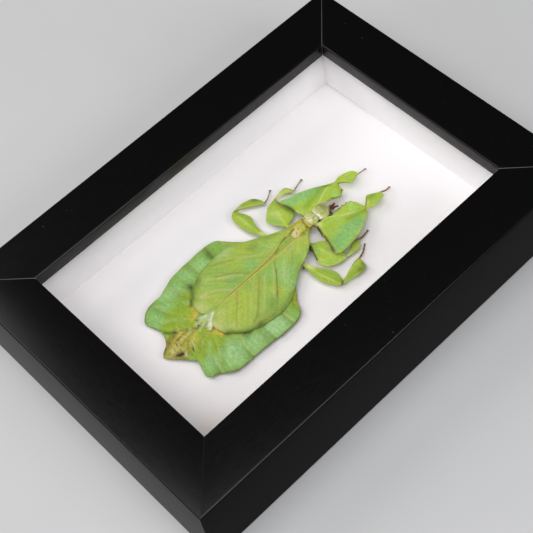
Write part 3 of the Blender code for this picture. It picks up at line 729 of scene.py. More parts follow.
def makeLining(v, material):
    # one card lining in place of four boards, its foot coved onto the board
    thick, radius, cove, lifted = v["lining"]
    chamfer = v["chamfer"]
    low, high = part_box("case_board")[1][2] / mm + 0.02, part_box("case_liner_left")[1][2] / mm
    insideX, insideY = -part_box("case_liner_left")[1][0] / mm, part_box("case_liner_head")[0][1] / mm
    tall = high - low
    turns = [math.pi / 2 * step / 5 for step in range(6)]
    section = [(cove * (1 - math.sin(turn)), cove * (1 - math.cos(turn))) for turn in turns]
    section += [(0, tall - chamfer), (-chamfer, tall), (chamfer - thick, tall)]
    section += [(-thick, tall - chamfer), (-thick, 0)]
    form = bmesh.new()
    rings = []
    for cx, cy, dx, dy in liningPath(insideX, insideY, radius):
        lift = lifted * float(smooth(-16, -30, cx)) * (dy > 0.5)
        ring = []
        for inward, height in section:
            z = low + height + (lift * (1 - height / 4) if height < 4 else 0)
            spot = Vector((cx + dx * (radius - inward), cy + dy * (radius - inward), z))
            ring.append(form.verts.new(spot * mm))
        rings.append(ring)
    bridge(form, rings, loop=True)
    mesh = meshOf("card_lining", form)
    lining = finishMesh("card_lining", mesh, material)
    mesh.set_sharp_from_angle(angle=math.radians(50))
    boards = [f"case_liner_{side}" for side in ("left", "right", "head", "foot")]
    return settle(lining, "card_white", *boards)


def dressNode(node, material):
    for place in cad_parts[node].material_slots:
        place.material = material


def makeCase(v):
    paints = [
        [blackPaintFinish(v, f"blackPaint{way}{n}", stretch, shine) for n, shine in enumerate(v["shine"])]
        for way, stretch in (("Long", (1, 0.12, 1)), ("Cross", (0.12, 1, 1)))
    ]
    for side, turns in (("right", 0), ("head", 1), ("left", 2), ("foot", 3)):
        makeRail(v, side, turns, paints[turns % 2])
    dressNode("case_board", cardFinish(v, "whiteBoard", v["card"]))
    # the lining takes the paler card, painted light on its walls
    makeLining(v, cardFinish(v, "whiteLining", v["wall"]))
    dressNode("case_back", hardboardFinish(v))
    dressNode("case_glass", glassFinish(v))
    steel = steelFinish(v)
    for corner in ("left_foot", "left_head", "right_foot", "right_head"):
        dressNode(f"case_tab_{corner}", steel)


makeCase(case)
print("case made")

abdomen = {
    # places from station to station, and from the middle to each margin
    "mesh": (10, 48),
    # left margin x, y, middle x, y, right margin x, y
    "rows": (
        (-5.4, 4, 0.3, 4.5, 6.2, 3.9), (-10.2, 0.6, 0.3, 0.5, 11.2, 0.3),
        (-14.8, -3.8, 0.4, -4, 15.9, -4), (-19.1, -7.4, 0.5, -8, 20, -7.5),
        (-22.4, -10, 0.6, -12, 24.2, -9.9), (-23.6, -13.8, 0.7, -16.5, 26, -13.5),
        (-23.7, -19, 0.8, -21, 26.4, -19), (-23.4, -25, 0.9, -25.5, 26, -24.5),
        (-23.1, -31, 1, -30.5, 25.4, -31), (-21.9, -35.8, 1.1, -35, 25.4, -36),
        (-20.1, -40.6, 1.2, -38.5, 25.2, -42), (-19.7, -44.6, 1.3, -41.5, 23.4, -45.6),
        (-19.4, -47.6, 1.3, -43.5, 20.8, -49), (-17.6, -51, 1.3, -45, 20.2, -51),
        (-14.4, -53.3, 1.3, -46.3, 17.7, -52.4), (-10.2, -51.7, 1.3, -48, 14.4, -50.7),
        (-6.6, -51.7, 1.3, -49.8, 11.2, -50.4), (-4.1, -52.6, 1.3, -51.6, 9.1, -52),
        (-1.9, -54.4, 1.3, -53.5, 6.4, -54.1), (-0.5, -56.6, 1.3, -55.8, 3.8, -56.3),
        (0.8, -57.9, 1.3, -58, 1.9, -57.8),
    ),
    "segments": (5.3, 6.9, 8.8, 11.6, 15, 17, 18.4),
    "backHeights": ((-57, 10.3), (-50, 11.3), (-40, 12.1), (-25, 12.7), (-8, 12.9), (4, 13.1)),
    # heights of the rim and of the floor that the belly keeps clear of; the margin's rounding
    "rimHeight": 10.55,
    "floor": 9.0,
    "edgeRadius": 0.3,
    "tailMiddle": 1.3,
    "lobeRise": 0.34,
    "foldDepth": 0.45,
    "keelRise": 0.35,
    "ripple": 0.16,
    "swell": 0.22,
    "ruffle": 0.1,
    "crumpleRise": 0.16,
    "paleRise": 0.22,
    "darkSink": 0.3,
    "sheet": 0.5,
    "belly": 3.3,
    "young": (134, 162, 34),
    "old": (128, 174, 82),
    "mint": (156, 198, 130),
    "vein": (172, 178, 78),
    "rim": (126, 126, 46),
    "brown": (122, 106, 38),
    "amber": (212, 180, 70),
    "pale": (196, 192, 130),
    "dark": (44, 34, 14),
    # folds between the segments: width, strength, then x, y
    "folds": (
        (0.5, 0.3, (12, -14.4), (19.5, -14.9), (25.9, -15.4)),
        (0.5, 0.3, (14, -23.4), (22, -23.8), (26, -24.3)),
        (0.45, 0.7, (10, -31), (14.5, -32.3), (17, -33.3), (20, -34.3), (25.3, -34.9)),
        (0.5, 0.45, (6, -38.4), (9.7, -40), (13.5, -42), (17, -44.8), (21, -48.2)),
        (0.5, 0.3, (6, -43.5), (9.5, -46.5), (13, -50.4)),
        (0.5, 0.25, (-10, -15), (-16.5, -15.4), (-23.6, -16.2)),
        (0.5, 0.25, (-12, -24.2), (-17.5, -24.4), (-23.3, -25.6)),
        (0.5, 0.3, (-9, -31.5), (-13, -33.2), (-17, -35.2), (-21.6, -37.4)),
        (0.5, 0.25, (-3, -39), (-9, -42.6), (-14, -45), (-19.2, -46.5)),
    ),
    # x, y, radius, strength
    "yellow": (
        (-7, -41, 7, 0.45), (9, -41, 7, 0.45), (-5, -47.5, 5, 0.5), (11, -47, 4, 0.5), (1, -48, 7, 0.6),
        (21.5, -11, 3.4, 0.6), (-20.5, -11, 3, 0.4), (18.5, -7.5, 2.6, 1.2), (16.5, -28.5, 3, 0.4),
        (-22.6, -26.4, 2.2, 0.8), (11, -35.5, 4.5, 0.5), (-10.5, -35, 4.5, 0.4),
        (-9.5, -46.5, 3.2, 0.5), (22.5, -43.5, 2.4, 0.5), (-18.6, -44.4, 2.4, 0.4),
    ),
    "cool": ((-13.8, -48.8, 4, 0.7), (16.5, -47.2, 3.4, 0.6), (-17, -40.5, 3, 0.3), (20, -37, 4, 0.3)),
    "mints": (
        (22.6, -18.6, 3.8, 1.1), (21.4, -22.2, 3, 1), (21.5, -30, 4, 0.8), (17.4, -36.8, 3.6, 0.8),
        (21.5, -39.5, 3.6, 0.8), (16, -47.6, 2.8, 0.7), (15.5, -42.2, 2.2, 0.5),
        (-18.4, -21.6, 2.8, 0.7), (-19.6, -28.2, 3, 0.6), (-17.6, -36.4, 3.2, 0.75),
        (-18.6, -40.8, 2.6, 0.6), (-13.8, -49.2, 3, 0.45), (-14.4, -43.4, 1.6, 0.35),
    ),
    # bands that lighten or deepen the lobes, roughly along the lie of the segments
    "streaks": (
        (1.1, 0.45, (-9.6, -36), (-14, -41), (-18.4, -46.4)),
        (0.9, 0.35, (-4.6, -42), (-9.4, -46.6), (-11.4, -50.4)),
        (1.1, -0.4, (-11.4, -38.4), (-15.6, -42.6), (-18.8, -45.4)),
        (1.3, -0.4, (-17.4, -31.2), (-22, -33)), (1.4, -0.45, (-23, -15.4), (-18, -16.6)),
        (1.1, 0.4, (13.4, -36.2), (17.6, -40.4), (21.6, -43.4)),
        (1.2, -0.45, (14.4, -41), (18.6, -44.6), (22, -45.8)), (1.2, -0.35, (18.4, -26.2), (25.4, -27)),
        (1, 0.4, (9.4, -42.4), (13.6, -47)), (1, -0.4, (6.4, -42.4), (9.4, -47.4)),
        (1, -0.35, (19.6, -32.6), (24.6, -33.4)),
    ),
    "ambers": (
        (1.2, 0.6, (-6.4, -36.6), (-4.6, -36.9), (-3.2, -37.4)),
        (0.9, 0.55, (-3, -38.4), (-2.6, -39.4)), (1.1, 0.8, (6.6, -37.6), (8.6, -37.2), (9.9, -36.6)),
        (0.6, 0.45, (-4.2, -40.6), (-2.2, -40.6)), (0.6, 0.45, (4.2, -39.6), (7.4, -40.4)),
        (1.2, 0.4, (2.6, -43.4), (4.6, -44.6)), (0.7, 0.3, (-13, -3.6), (-16.5, -6.4), (-20, -9.2)),
        (0.8, 0.3, (16, -4.6), (18.4, -6.9), (21, -8.6)), (0.5, 0.3, (19.8, -14.9), (23.8, -15.2)),
        (0.7, 0.2, (-17.8, -24.3), (-16.8, -24.6)), (0.6, 0.5, (4.2, -48.6), (5.4, -49.8)),
        (1.4, 0.3, (-1.2, -47.5), (-1, -50.5)),
    ),
    "pales": (
        (0.28, 1, (0.2, -43), (0.5, -47), (0.9, -52), (1.1, -55)),
        (0.28, 0.9, (1, -44), (1.3, -50), (1.8, -54)),
        (0.3, 0.8, (4.4, -46.3), (6.2, -47.2), (7.2, -48.2)),
        (0.25, 0.6, (3.4, -44.2), (4.2, -46.6), (4.4, -48.6)),
        (0.25, 0.5, (1.6, -46.4), (3, -48.2), (4.8, -49.2)), (0.25, 0.5, (-0.2, -47.2), (-1.6, -48.6)),
        (0.3, 0.5, (1.4, -41.8), (1.3, -44.4)), (0.25, 0.5, (6.6, -40.4), (6.9, -42.8), (7.8, -44.6)),
        (0.4, 0.45, (-3.4, -47.6), (-1.6, -46.8)), (1.3, 0.6, (2.7, -52.5), (2.6, -56)),
        (0.7, 0.6, (4.2, -50.9), (6, -51), (7.1, -52.4)), (0.8, 0.8, (0.2, -40.4), (0.9, -41.1)),
        (0.6, 0.7, (2.7, -40.7), (3, -41.3)),
    ),
    "browns": (
        (1, 0.4, (-3.4, -48.6), (-2.8, -50.4), (-1.6, -52.6)),
        (0.6, 0.5, (-2.6, -51.9), (-1.1, -54.3), (0, -56.6)),
        (0.7, 0.4, (3.4, -47.6), (5.2, -49.6), (7.6, -50.4)),
        (0.5, 0.5, (-0.4, -44.4), (-0.3, -47), (0.1, -51)),
        (0.4, 0.4, (2, -43.5), (2.2, -47), (2.4, -50.5)), (0.6, 0.4, (3.6, -54.8), (5.6, -54.2)),
        (0.5, 0.6, (-0.9, -44.2), (-2.2, -46.4)), (0.8, 0.7, (5.9, -53.4), (7.3, -52.6)),
        (0.8, 0.6, (4.2, -52), (4, -53.6)), (0.5, 0.5, (6.4, -40.4), (7, -40.5)),
        (0.4, 0.6, (19.7, -7.6), (20.2, -7.7)), (0.4, 0.5, (23.6, -9.9), (24.4, -10.1)),
        (0.8, 0.3, (1, -56.5), (3, -56)),
    ),
    # shade that hugs the wing covers, then notches at the margin, then the tail
    "darks": (
        (0.9, 0.6, (16.4, -28.4), (16.6, -29.4), (15.6, -30.4)),
        (0.5, 0.35, (14.6, -31.4), (12.9, -33.2)), (0.7, 0.55, (11.9, -34.6), (11, -36)),
        (1.6, 0.25, (16.8, -31.2), (17.4, -31.4)),
        (0.7, 0.5, (-13.8, -30.4), (-12, -32.2), (-10.4, -33.3)),
        (1, 0.4, (-14.8, -30.4), (-14.2, -31.2)),
        (0.8, 0.6, (-9.4, -34.6), (-8.2, -35.4), (-7.3, -36.5)),
        (1.6, 0.25, (-15, -31.6), (-14.4, -32)), (1.6, 0.3, (-20.6, -15.8), (-18.6, -15.8)),
        (0.45, 0.7, (25.3, -35), (26.2, -35.2)), (0.4, 0.45, (20.7, -47.5), (21.5, -48.4)),
        (0.4, 0.5, (25.6, -24.4), (26.4, -24.5)),
        (0.5, 0.4, (-19.7, -45.5), (-18.6, -49.6), (-16.4, -52.2), (-13.8, -53.2)),
        (0.5, 0.3, (24.8, -42.6), (22.4, -46.4)),
        (0.5, 0.55, (-2.6, -47.6), (-4.6, -49.4), (-6.4, -50.8)),
        (0.42, 1.1, (1.4, -40.1), (1.7, -41.2), (1.6, -41.9)), (0.8, 0.35, (1, -42.6), (1.2, -43.6)),
        (0.65, 1.2, (5.2, -52.2), (5, -52.8)), (0.4, 1, (4.9, -53.2), (4.2, -54)),
        (0.5, 0.4, (-1.6, -54.6), (-0.6, -56.2), (0.6, -57.6)), (0.35, 0.9, (6.4, -48), (7.4, -48.5)),
        (0.3, 0.8, (1.1, -51.2), (1.3, -51.5)), (0.28, 0.6, (-0.1, -45), (0.1, -45.2)),
        (0.28, 0.7, (-0.1, -49.2), (0.1, -49.4)), (1, 0.3, (-3.4, -48.4), (-2.2, -49.6)),
    ),
}


def makeAbdomen(v):
    perRow, perSide = v["mesh"]
    last, at, rows = stationRows(v["rows"], perRow)
    down = at[:, None]
    side = np.sin(np.linspace(-1, 1, 2 * perSide + 1) * math.pi / 2)
    part = np.abs(side)[None, :]
    left, middle, right = rows[:, None, 0:2], rows[:, None, 2:4], rows[:, None, 4:6]
    margin = np.where((side < 0)[None, :, None], left, right)
    reach = np.linalg.norm(margin - middle, axis=2)
    ripple = 1 + v["ripple"] * cloud(down * 1.6, np.sign(side)[None, :] * 9, 1.0) / np.maximum(reach, 1)
    spot = middle + (margin - middle) * (part * ripple)[..., None]
    x, y = spot[..., 0], spot[..., 1]
    inset = (1 - part) * reach
    fold, pale, dark, brown, amber, streak = allStrokes(
        x, y, v, "folds", "pales", "darks", "browns", "ambers", "streaks"
    )
    fromKeel = np.abs(x - v["tailMiddle"])
    # how far along its segment each point lies, 0 to 1
    marks = (0, *v["segments"], last)
    phase = np.interp(at, marks, np.arange(len(marks)))[:, None] % 1
    lobes = smooth(0.25, 0.8, part)
    puff = np.sin(math.pi * phase)
    tail = smooth(-42.5, -46.5, y) * smooth(8.5, 5.5, np.abs(x - 1.6))
    crumple = cloud(x, y * 0.7, 0.8, 21.0) + 0.5 * cloud(x, y, 0.4, 22.0)
    keel = ridge(x, 1.2, 0.9) * smooth(-38, -44, y)

    crest = blend(v["backHeights"], rows[:, 3])[:, None]
    top = v["rimHeight"] + (crest - v["rimHeight"]) * (1 - part**2)
    top = top + v["lobeRise"] * puff * lobes * smooth(0, 6, reach) - v["foldDepth"] * fold
    top = top + v["swell"] * cloud(x, y, 3.2, 4.0) * lobes + v["ruffle"] * cloud(x, y, 1.1, 9.0)
    top = top + v["crumpleRise"] * tail * crumple
    top = top + v["keelRise"] * keel * (0.75 + 0.25 * np.sin(down * 12))
    top = top + v["paleRise"] * pale - v["darkSink"] * np.clip(dark, 0, 1)
    fullness = np.clip(1 - (part / 0.6) ** 2, 0, 1)
    floorGap = np.clip(top - v["floor"], 0.3, None)
    thick = v["sheet"] + (np.minimum(v["belly"], floorGap) - v["sheet"]) * fullness
    ends = np.minimum(at, last - at)[:, None] * 2.5
    bottom = top - thick
    half = (top - bottom) / 2 * edgeFullness(np.minimum(inset, ends), v["edgeRadius"])

    tone = smooth(0.3, 0.86, part + 0.12 * cloud(x, y, 3.0, 6.0)) * smooth(0, 12, reach)
    tone = tone - spots(x, y, v["yellow"]) + spots(x, y, v["cool"]) + 0.2 * puff
    shade = 0.16 * smooth(0.3, 0.0, phase) * lobes * smooth(-8, -12, y)
    brown = brown + 0.12 * smooth(-45, -50, y) * smooth(7, 3, fromKeel)
    brown = brown + 0.4 * tail * smooth(0.1, 0.6, -crumple)
    brown = brown + 0.25 * tail * smooth(0.1, 0.5, cloud(x, y, 2.2, 33.0)) * smooth(1.5, -1.5, x)
    amber = amber * (1 + 0.9 * cloud(x, y, 0.7, 17.0))
    deeper = np.clip(-streak, 0, 1)
    layers = skinLayers(
        x,
        (part * reach * 0.1, down * 3.2),
        tone=tone - 0.6 * deeper,
        brown=brown,
        dark=dark + shade + 0.3 * deeper,
        margin=inset + 0.35 * smooth(-0.2, 0.4, cloud(x, y, 4.0, 12.0)),
        fold=fold,
        pale=pale + 0.4 * tail * smooth(0.1, 0.6, crumple),
        amber=amber + 0.25 * smooth(-43, -47, y) * smooth(6, 2, fromKeel),
        mint=spots(x, y, v["mints"]) + np.clip(streak, 0, 1),
    )
    finish = leafFinish("abdomenSkin", v, rimWidth=0.7, netSize=1.3)
    piece = closedSheet("abdomen_skin", x, y, (top + bottom) / 2, half, layers, finish)
    return settle(piece, "leaf_green", "abdomen", "abdomen_tip")


makeAbdomen(abdomen)
print("abdomen made")

wings = {
    "mesh": (14, 96),
    "sheet": 0.4,
    "lift": 0.9,
    "slip": 0.65,
    "midribRise": 0.3,
    "brownRise": 0.22,
    "paleRise": 0.16,
    "ripple": 0.1,
    "swell": 0.18,
    "ruffle": 0.07,
    "edgeRadius": 0.25,
    "rims": ((-38, 12.9), (-30, 12.7), (-20, 12.2), (-5, 12.2), (4, 12.8), (10, 14.2), (15, 15.3)),
    "crests": ((-40, 12.1), (-25, 12.7), (-8, 12.9), (4, 13.1), (9, 13.9), (15, 15.1)),
    "fall": 1.6,
    "young": (158, 180, 66),
    "old": (128, 172, 78),
    "mint": (158, 196, 118),
    "vein": (202, 178, 84),
    "rim": (128, 136, 60),
    "brown": (124, 116, 44),
    "amber": (190, 166, 76),
    "pale": (192, 192, 124),
    "dark": (84, 100, 34),
    "left": {
        # inner edge x, y, outer margin x, y
        "rows": (
            (-4.6, 14.4, -5.4, 14.2), (-3.9, 12.4, -7.5, 9.6), (-2.7, 10.2, -10.4, 3.7),
            (-1.7, 8, -13.5, -2.1), (-1, 5, -16.9, -8.5), (-0.4, 1.5, -17.3, -16), (0, -5, -16.6, -22),
            (0.2, -11.5, -14.6, -28), (0.3, -16, -12.6, -31.2), (0.3, -21, -9.9, -33.9),
            (0.3, -27, -7.3, -35.7), (-0.1, -31.4, -4.9, -36.4), (-1.4, -34.8, -2.9, -36.2),
        ),
        "midrib": (
            (-4.4, 12.6), (-3.8, 9.6), (-3.1, 5.6), (-2.2, 1.6), (-1.8, -2.4), (-1.4, -9.4),
            (-1.1, -19.4), (-0.9, -28),
        ),
        # width, strength, then x, y
        "browns": (
            (0.4, 0.3, (-3.2, 9.4), (-2.6, 6.6), (-1.9, 3.4)),
            (0.45, 0.5, (-2.4, -11.6), (-5.8, -15), (-7.8, -17.4), (-10.3, -21.4)),
            (0.35, 0.25, (-1.4, -21.6), (-4.2, -24.6), (-6.6, -28.6)),
            (0.5, 0.35, (-10.8, -11.4), (-13.8, -16), (-15.8, -20.4)),
        ),
        "pales": (
            (0.7, 0.4, (-3.6, -13.8), (-6.8, -16.8), (-9.2, -20.4)),
            (0.6, 0.4, (-6.4, -17.8), (-10.2, -22), (-11.8, -24.4)),
            (0.6, 0.45, (-1.3, -20.8), (-4.6, -23.8), (-7.3, -28.6), (-7.9, -31)),
            (0.5, 0.3, (-2.4, 3), (-6.4, -4.4), (-10.4, -9.2)),
            (1.4, 0.35, (-15.4, -9.4), (-15.8, -14.4)), (1.6, 0.5, (-3.2, -33.8), (-5.8, -34.8)),
            (1.8, 0.25, (-7.6, -29.4), (-5.2, -32.4)),
        ),
        "ambers": (
            (0.5, 0.3, (-3.3, -1.5), (-6, -4.5), (-9.8, -8.8)),
            (0.4, 0.6, (-2.4, 5), (-1.8, 1), (-1.6, -4), (-1.3, -9)),
            (0.9, 0.5, (-4.6, -36.6), (-2.8, -36.4)), (0.7, 0.4, (-4.4, 13.4), (-3.9, 11.4)),
        ),
        # mostly painted shade: near the root of the inner edge, under the right cover, and along the lower
        # margin, with a few soft dark patches
        "darks": (
            (0.45, 0.6, (-3.7, 9.2), (-3.2, 7.2), (-2.8, 6)), (1.6, 0.3, (-9.6, -1.4), (-10, -3.6)),
            (1.2, 0.2, (-7.4, 8), (-8.8, 4)), (1.2, 0.2, (-2.6, 9), (-2, 5)),
            (1.3, 0.5, (-14.2, -26.6), (-12.2, -30.8), (-9.4, -33.6)),
            (1.2, 0.16, (-3.4, -16.5), (-5.6, -19.6)),
        ),
        # x, y, radius, strength
        "cool": ((-4, -8, 4, 0.5), (-5, -18, 3.5, 0.6), (-12, -19, 3, 0.3), (-16, -12, 3, 0.7)),
        "yellow": (
            (-11, -6, 3.5, 0.7), (-13, -12, 3, 0.6), (-3, -29, 4, 0.6), (-6.5, 7, 3, 0.5),
            (-9, -14, 3, 0.3),
        ),
        "mints": (
            (-16, -12, 2.6, 0.8), (-4.5, -7.5, 3, 0.3), (-6, 2, 2.6, 0.3), (-11.6, -25, 2.4, 0.25),
        ),
    },
    "right": {
        "rows": (
            (0.6, 17.4, 1.5, 17), (0.8, 15.6, 4.6, 14.2), (0.6, 13.6, 7.9, 9.8),
            (-0.6, 11.2, 10.8, 2.9), (-2.8, 10, 15, -3.5), (-3.1, 7.2, 18.2, -9.2),
            (-2.3, 3.6, 19.3, -15), (-1.3, 0.2, 18.9, -20.5), (-0.8, -4.5, 17.6, -25.6),
            (-0.7, -10.5, 15.6, -29.8), (-0.7, -17, 12.9, -32.8), (-0.6, -23.5, 9.8, -35.5),
            (-0.1, -30, 6.9, -36.6), (2.2, -34.4, 4.4, -36.5),
        ),
        "midrib": (
            (0.9, 15.4), (0.4, 12), (0.1, 8.6), (0.2, 3.6), (0, -0.4), (-0.1, -9.4), (-0.2, -18.4),
            (0, -27),
        ),
        "browns": (
            (0.3, 0.85, (4.4, -3.7), (6.6, -5.4), (8.7, -7.4), (10.8, -9.2), (12.7, -10.9)),
            (0.32, 0.45, (0.7, -0.9), (2.4, -2.3), (4.7, -3.9)),
            (0.4, 0.4, (12.5, -10.8), (15, -13), (17.2, -15.6)),
            (0.4, 0.45, (1.7, -9.9), (5.2, -13.4), (8.2, -16.4), (12.7, -21.2), (14.8, -25)),
            (0.32, 0.45, (0.1, -20), (4.7, -24.3), (8.7, -28.3), (11.6, -30.8)),
            (0.4, 0.2, (1.4, 7.4), (5, 4), (9, 0)), (0.4, 0.25, (-0.5, 1.5), (-0.55, -3), (-0.5, -9)),
        ),
        "pales": (
            (0.4, 0.4, (3, -8.4), (7, -12), (12, -17), (16, -22)),
            (0.5, 0.25, (1.8, -13), (6.4, -17.6), (11.6, -24)),
            (0.35, 0.35, (2.6, -3.2), (6.2, -6.2), (10.4, -10.4), (13, -12.2)),
            (0.5, 0.25, (1, 4), (5, 0.2), (10, -4.4)), (1, 0.3, (1.2, 8.4), (2.6, 5.4)),
            (1.2, 0.6, (4.2, -35.4), (7.8, -35.7)), (2.2, 0.3, (3, -31), (6, -33)),
            (1.6, 0.25, (10.6, -30.8), (9.4, -33)),
        ),
        "ambers": (
            (0.8, 0.4, (2.2, 15.2), (4, 13.8)), (0.6, 0.5, (0.5, -20.2), (3.4, -22.6)),
            (0.7, 0.25, (1.6, -10), (5.6, -13.6)), (0.8, 0.4, (5, -36.8), (7.6, -36.6)),
        ),
        # mostly painted shade along the inner edge, the outer margin and the lower margin, with two soft
        # dark patches
        "darks": (
            (0.28, 0.45, (-3.6, 9.9), (-3.25, 7.2), (-2.4, 3.8), (-1.4, 0.4)),
            (0.2, 0.2, (-1.3, 0.2), (-0.8, -4.5)), (0.5, 0.5, (-1.6, 3.4), (-1.2, 1.6)),
            (1.3, 0.45, (16.6, -6.6), (18.2, -12), (18.2, -18), (16.8, -24)),
            (1.6, 0.25, (12.6, -12.4), (15.4, -17), (14.6, -22)),
            (1.2, 0.5, (17.6, -23.6), (16.2, -28), (13.8, -31.6), (10.8, -34.2)),
            (1.4, 0.18, (9.8, 4), (12.4, 0)), (1.2, 0.22, (-1.7, 9.6), (-1.2, 5)),
        ),
        "cool": ((8, -2, 4, 0.8), (13, -4, 3, 0.5), (4, -6, 3, 0.2), (16, -14, 3, 0.3)),
        "yellow": (
            (6, -22, 5, 0.9), (10, -27, 4, 0.5), (3, 12, 3, 0.8), (12, -9, 2.4, 0.5), (4, -31, 4, 0.5),
            (2, 5, 3, 0.3),
        ),
        "mints": (
            (7.8, -2.4, 3.2, 0.75), (12.8, -4.2, 2.6, 0.6), (3.5, -5, 2.4, 0.25), (4.6, 0.6, 2.4, 0.3),
        ),
    },
}


def makeWing(v, name, w, side):
    perRow, across = v["mesh"]
    last, at, rows = stationRows(w["rows"], perRow)
    part = np.linspace(0, 1, across + 1)[None, :]
    inner, outer = rows[:, None, 0:2], rows[:, None, 2:4]
    reach = np.linalg.norm(outer - inner, axis=2)
    ripple = 1 + v["ripple"] * cloud(at[:, None] * 1.4, 5.0, 1.0, side) / np.maximum(reach, 1)
    spot = inner + (outer - inner) * (part * ripple)[..., None]
    x, y = spot[..., 0], spot[..., 1]
    fromInner = np.linalg.norm(spot - inner, axis=2)
    inset = (1 - part) * reach
    ends = np.minimum(at, last - at)[:, None] * 3.0
    midrib = lineDistance(x, y, curved(w["midrib"]))
    brown, pale, dark, amber = allStrokes(x, y, w, "browns", "pales", "darks", "ambers")

    crest = blend(v["crests"], rows[:, 1])[:, None] + v["lift"]
    rim = blend(v["rims"], rows[:, 3])[:, None]
    top = crest + (rim - crest) * part ** v["fall"]
    if side < 0:
        # the left cover slips under the right one along the middle
        top = top - v["slip"] * smooth(-6.5, -3.0, x + 0.12 * np.minimum(y, 0))
    top = top + v["midribRise"] * ridge(midrib, 0, 0.45) * smooth(-32, -20, y)
    top = top + v["brownRise"] * brown + v["paleRise"] * pale
    top = top + v["swell"] * cloud(x, y, 4.0, 2.0 + side) + v["ruffle"] * cloud(x, y, 1.2, 7.0)
    edge = np.minimum(np.minimum(inset, fromInner), ends)
    half = v["sheet"] / 2 * edgeFullness(edge, v["edgeRadius"])

    mottle = cloud(x, y, 1.5, 14.0 + side)
    tone = 0.5 + spots(x, y, w["cool"]) - spots(x, y, w["yellow"])
    slant = x * side
    layers = skinLayers(
        x,
        ((0.7 * slant - 0.7 * y) * 0.1, (0.7 * slant + 0.7 * y) * 0.8),
        tone=tone + 0.2 * cloud(x, y, 6.0, 3.0) + 0.45 * mottle,
        brown=brown,
        # painted shade: each cover darkens within about a millimetre of its margin, towards the tips
        dark=dark + 0.3 * smooth(1.2, 0.2, inset) * smooth(-6, -22, y),
        vein=midrib * 0.5 + 0.005 * np.clip(-y, 0, 30),
        margin=inset,
        pale=pale + 0.3 * smooth(0.1, 0.5, mottle) * smooth(-4, -30, y),
        amber=amber,
        mint=spots(x, y, w["mints"]),
    )
    finish = leafFinish(f"wingSkin_{name}", v, rimWidth=0.35, netSize=0.9)
    piece = closedSheet(f"wing_cover_{name}", x, y, top - half, half, layers, finish)
    return settle(piece, "wing_green", f"tegmen_{name}")


for name, side in (("left", -1), ("right", 1)):
    makeWing(wings, name, wings[name], side)
print("wing covers made")

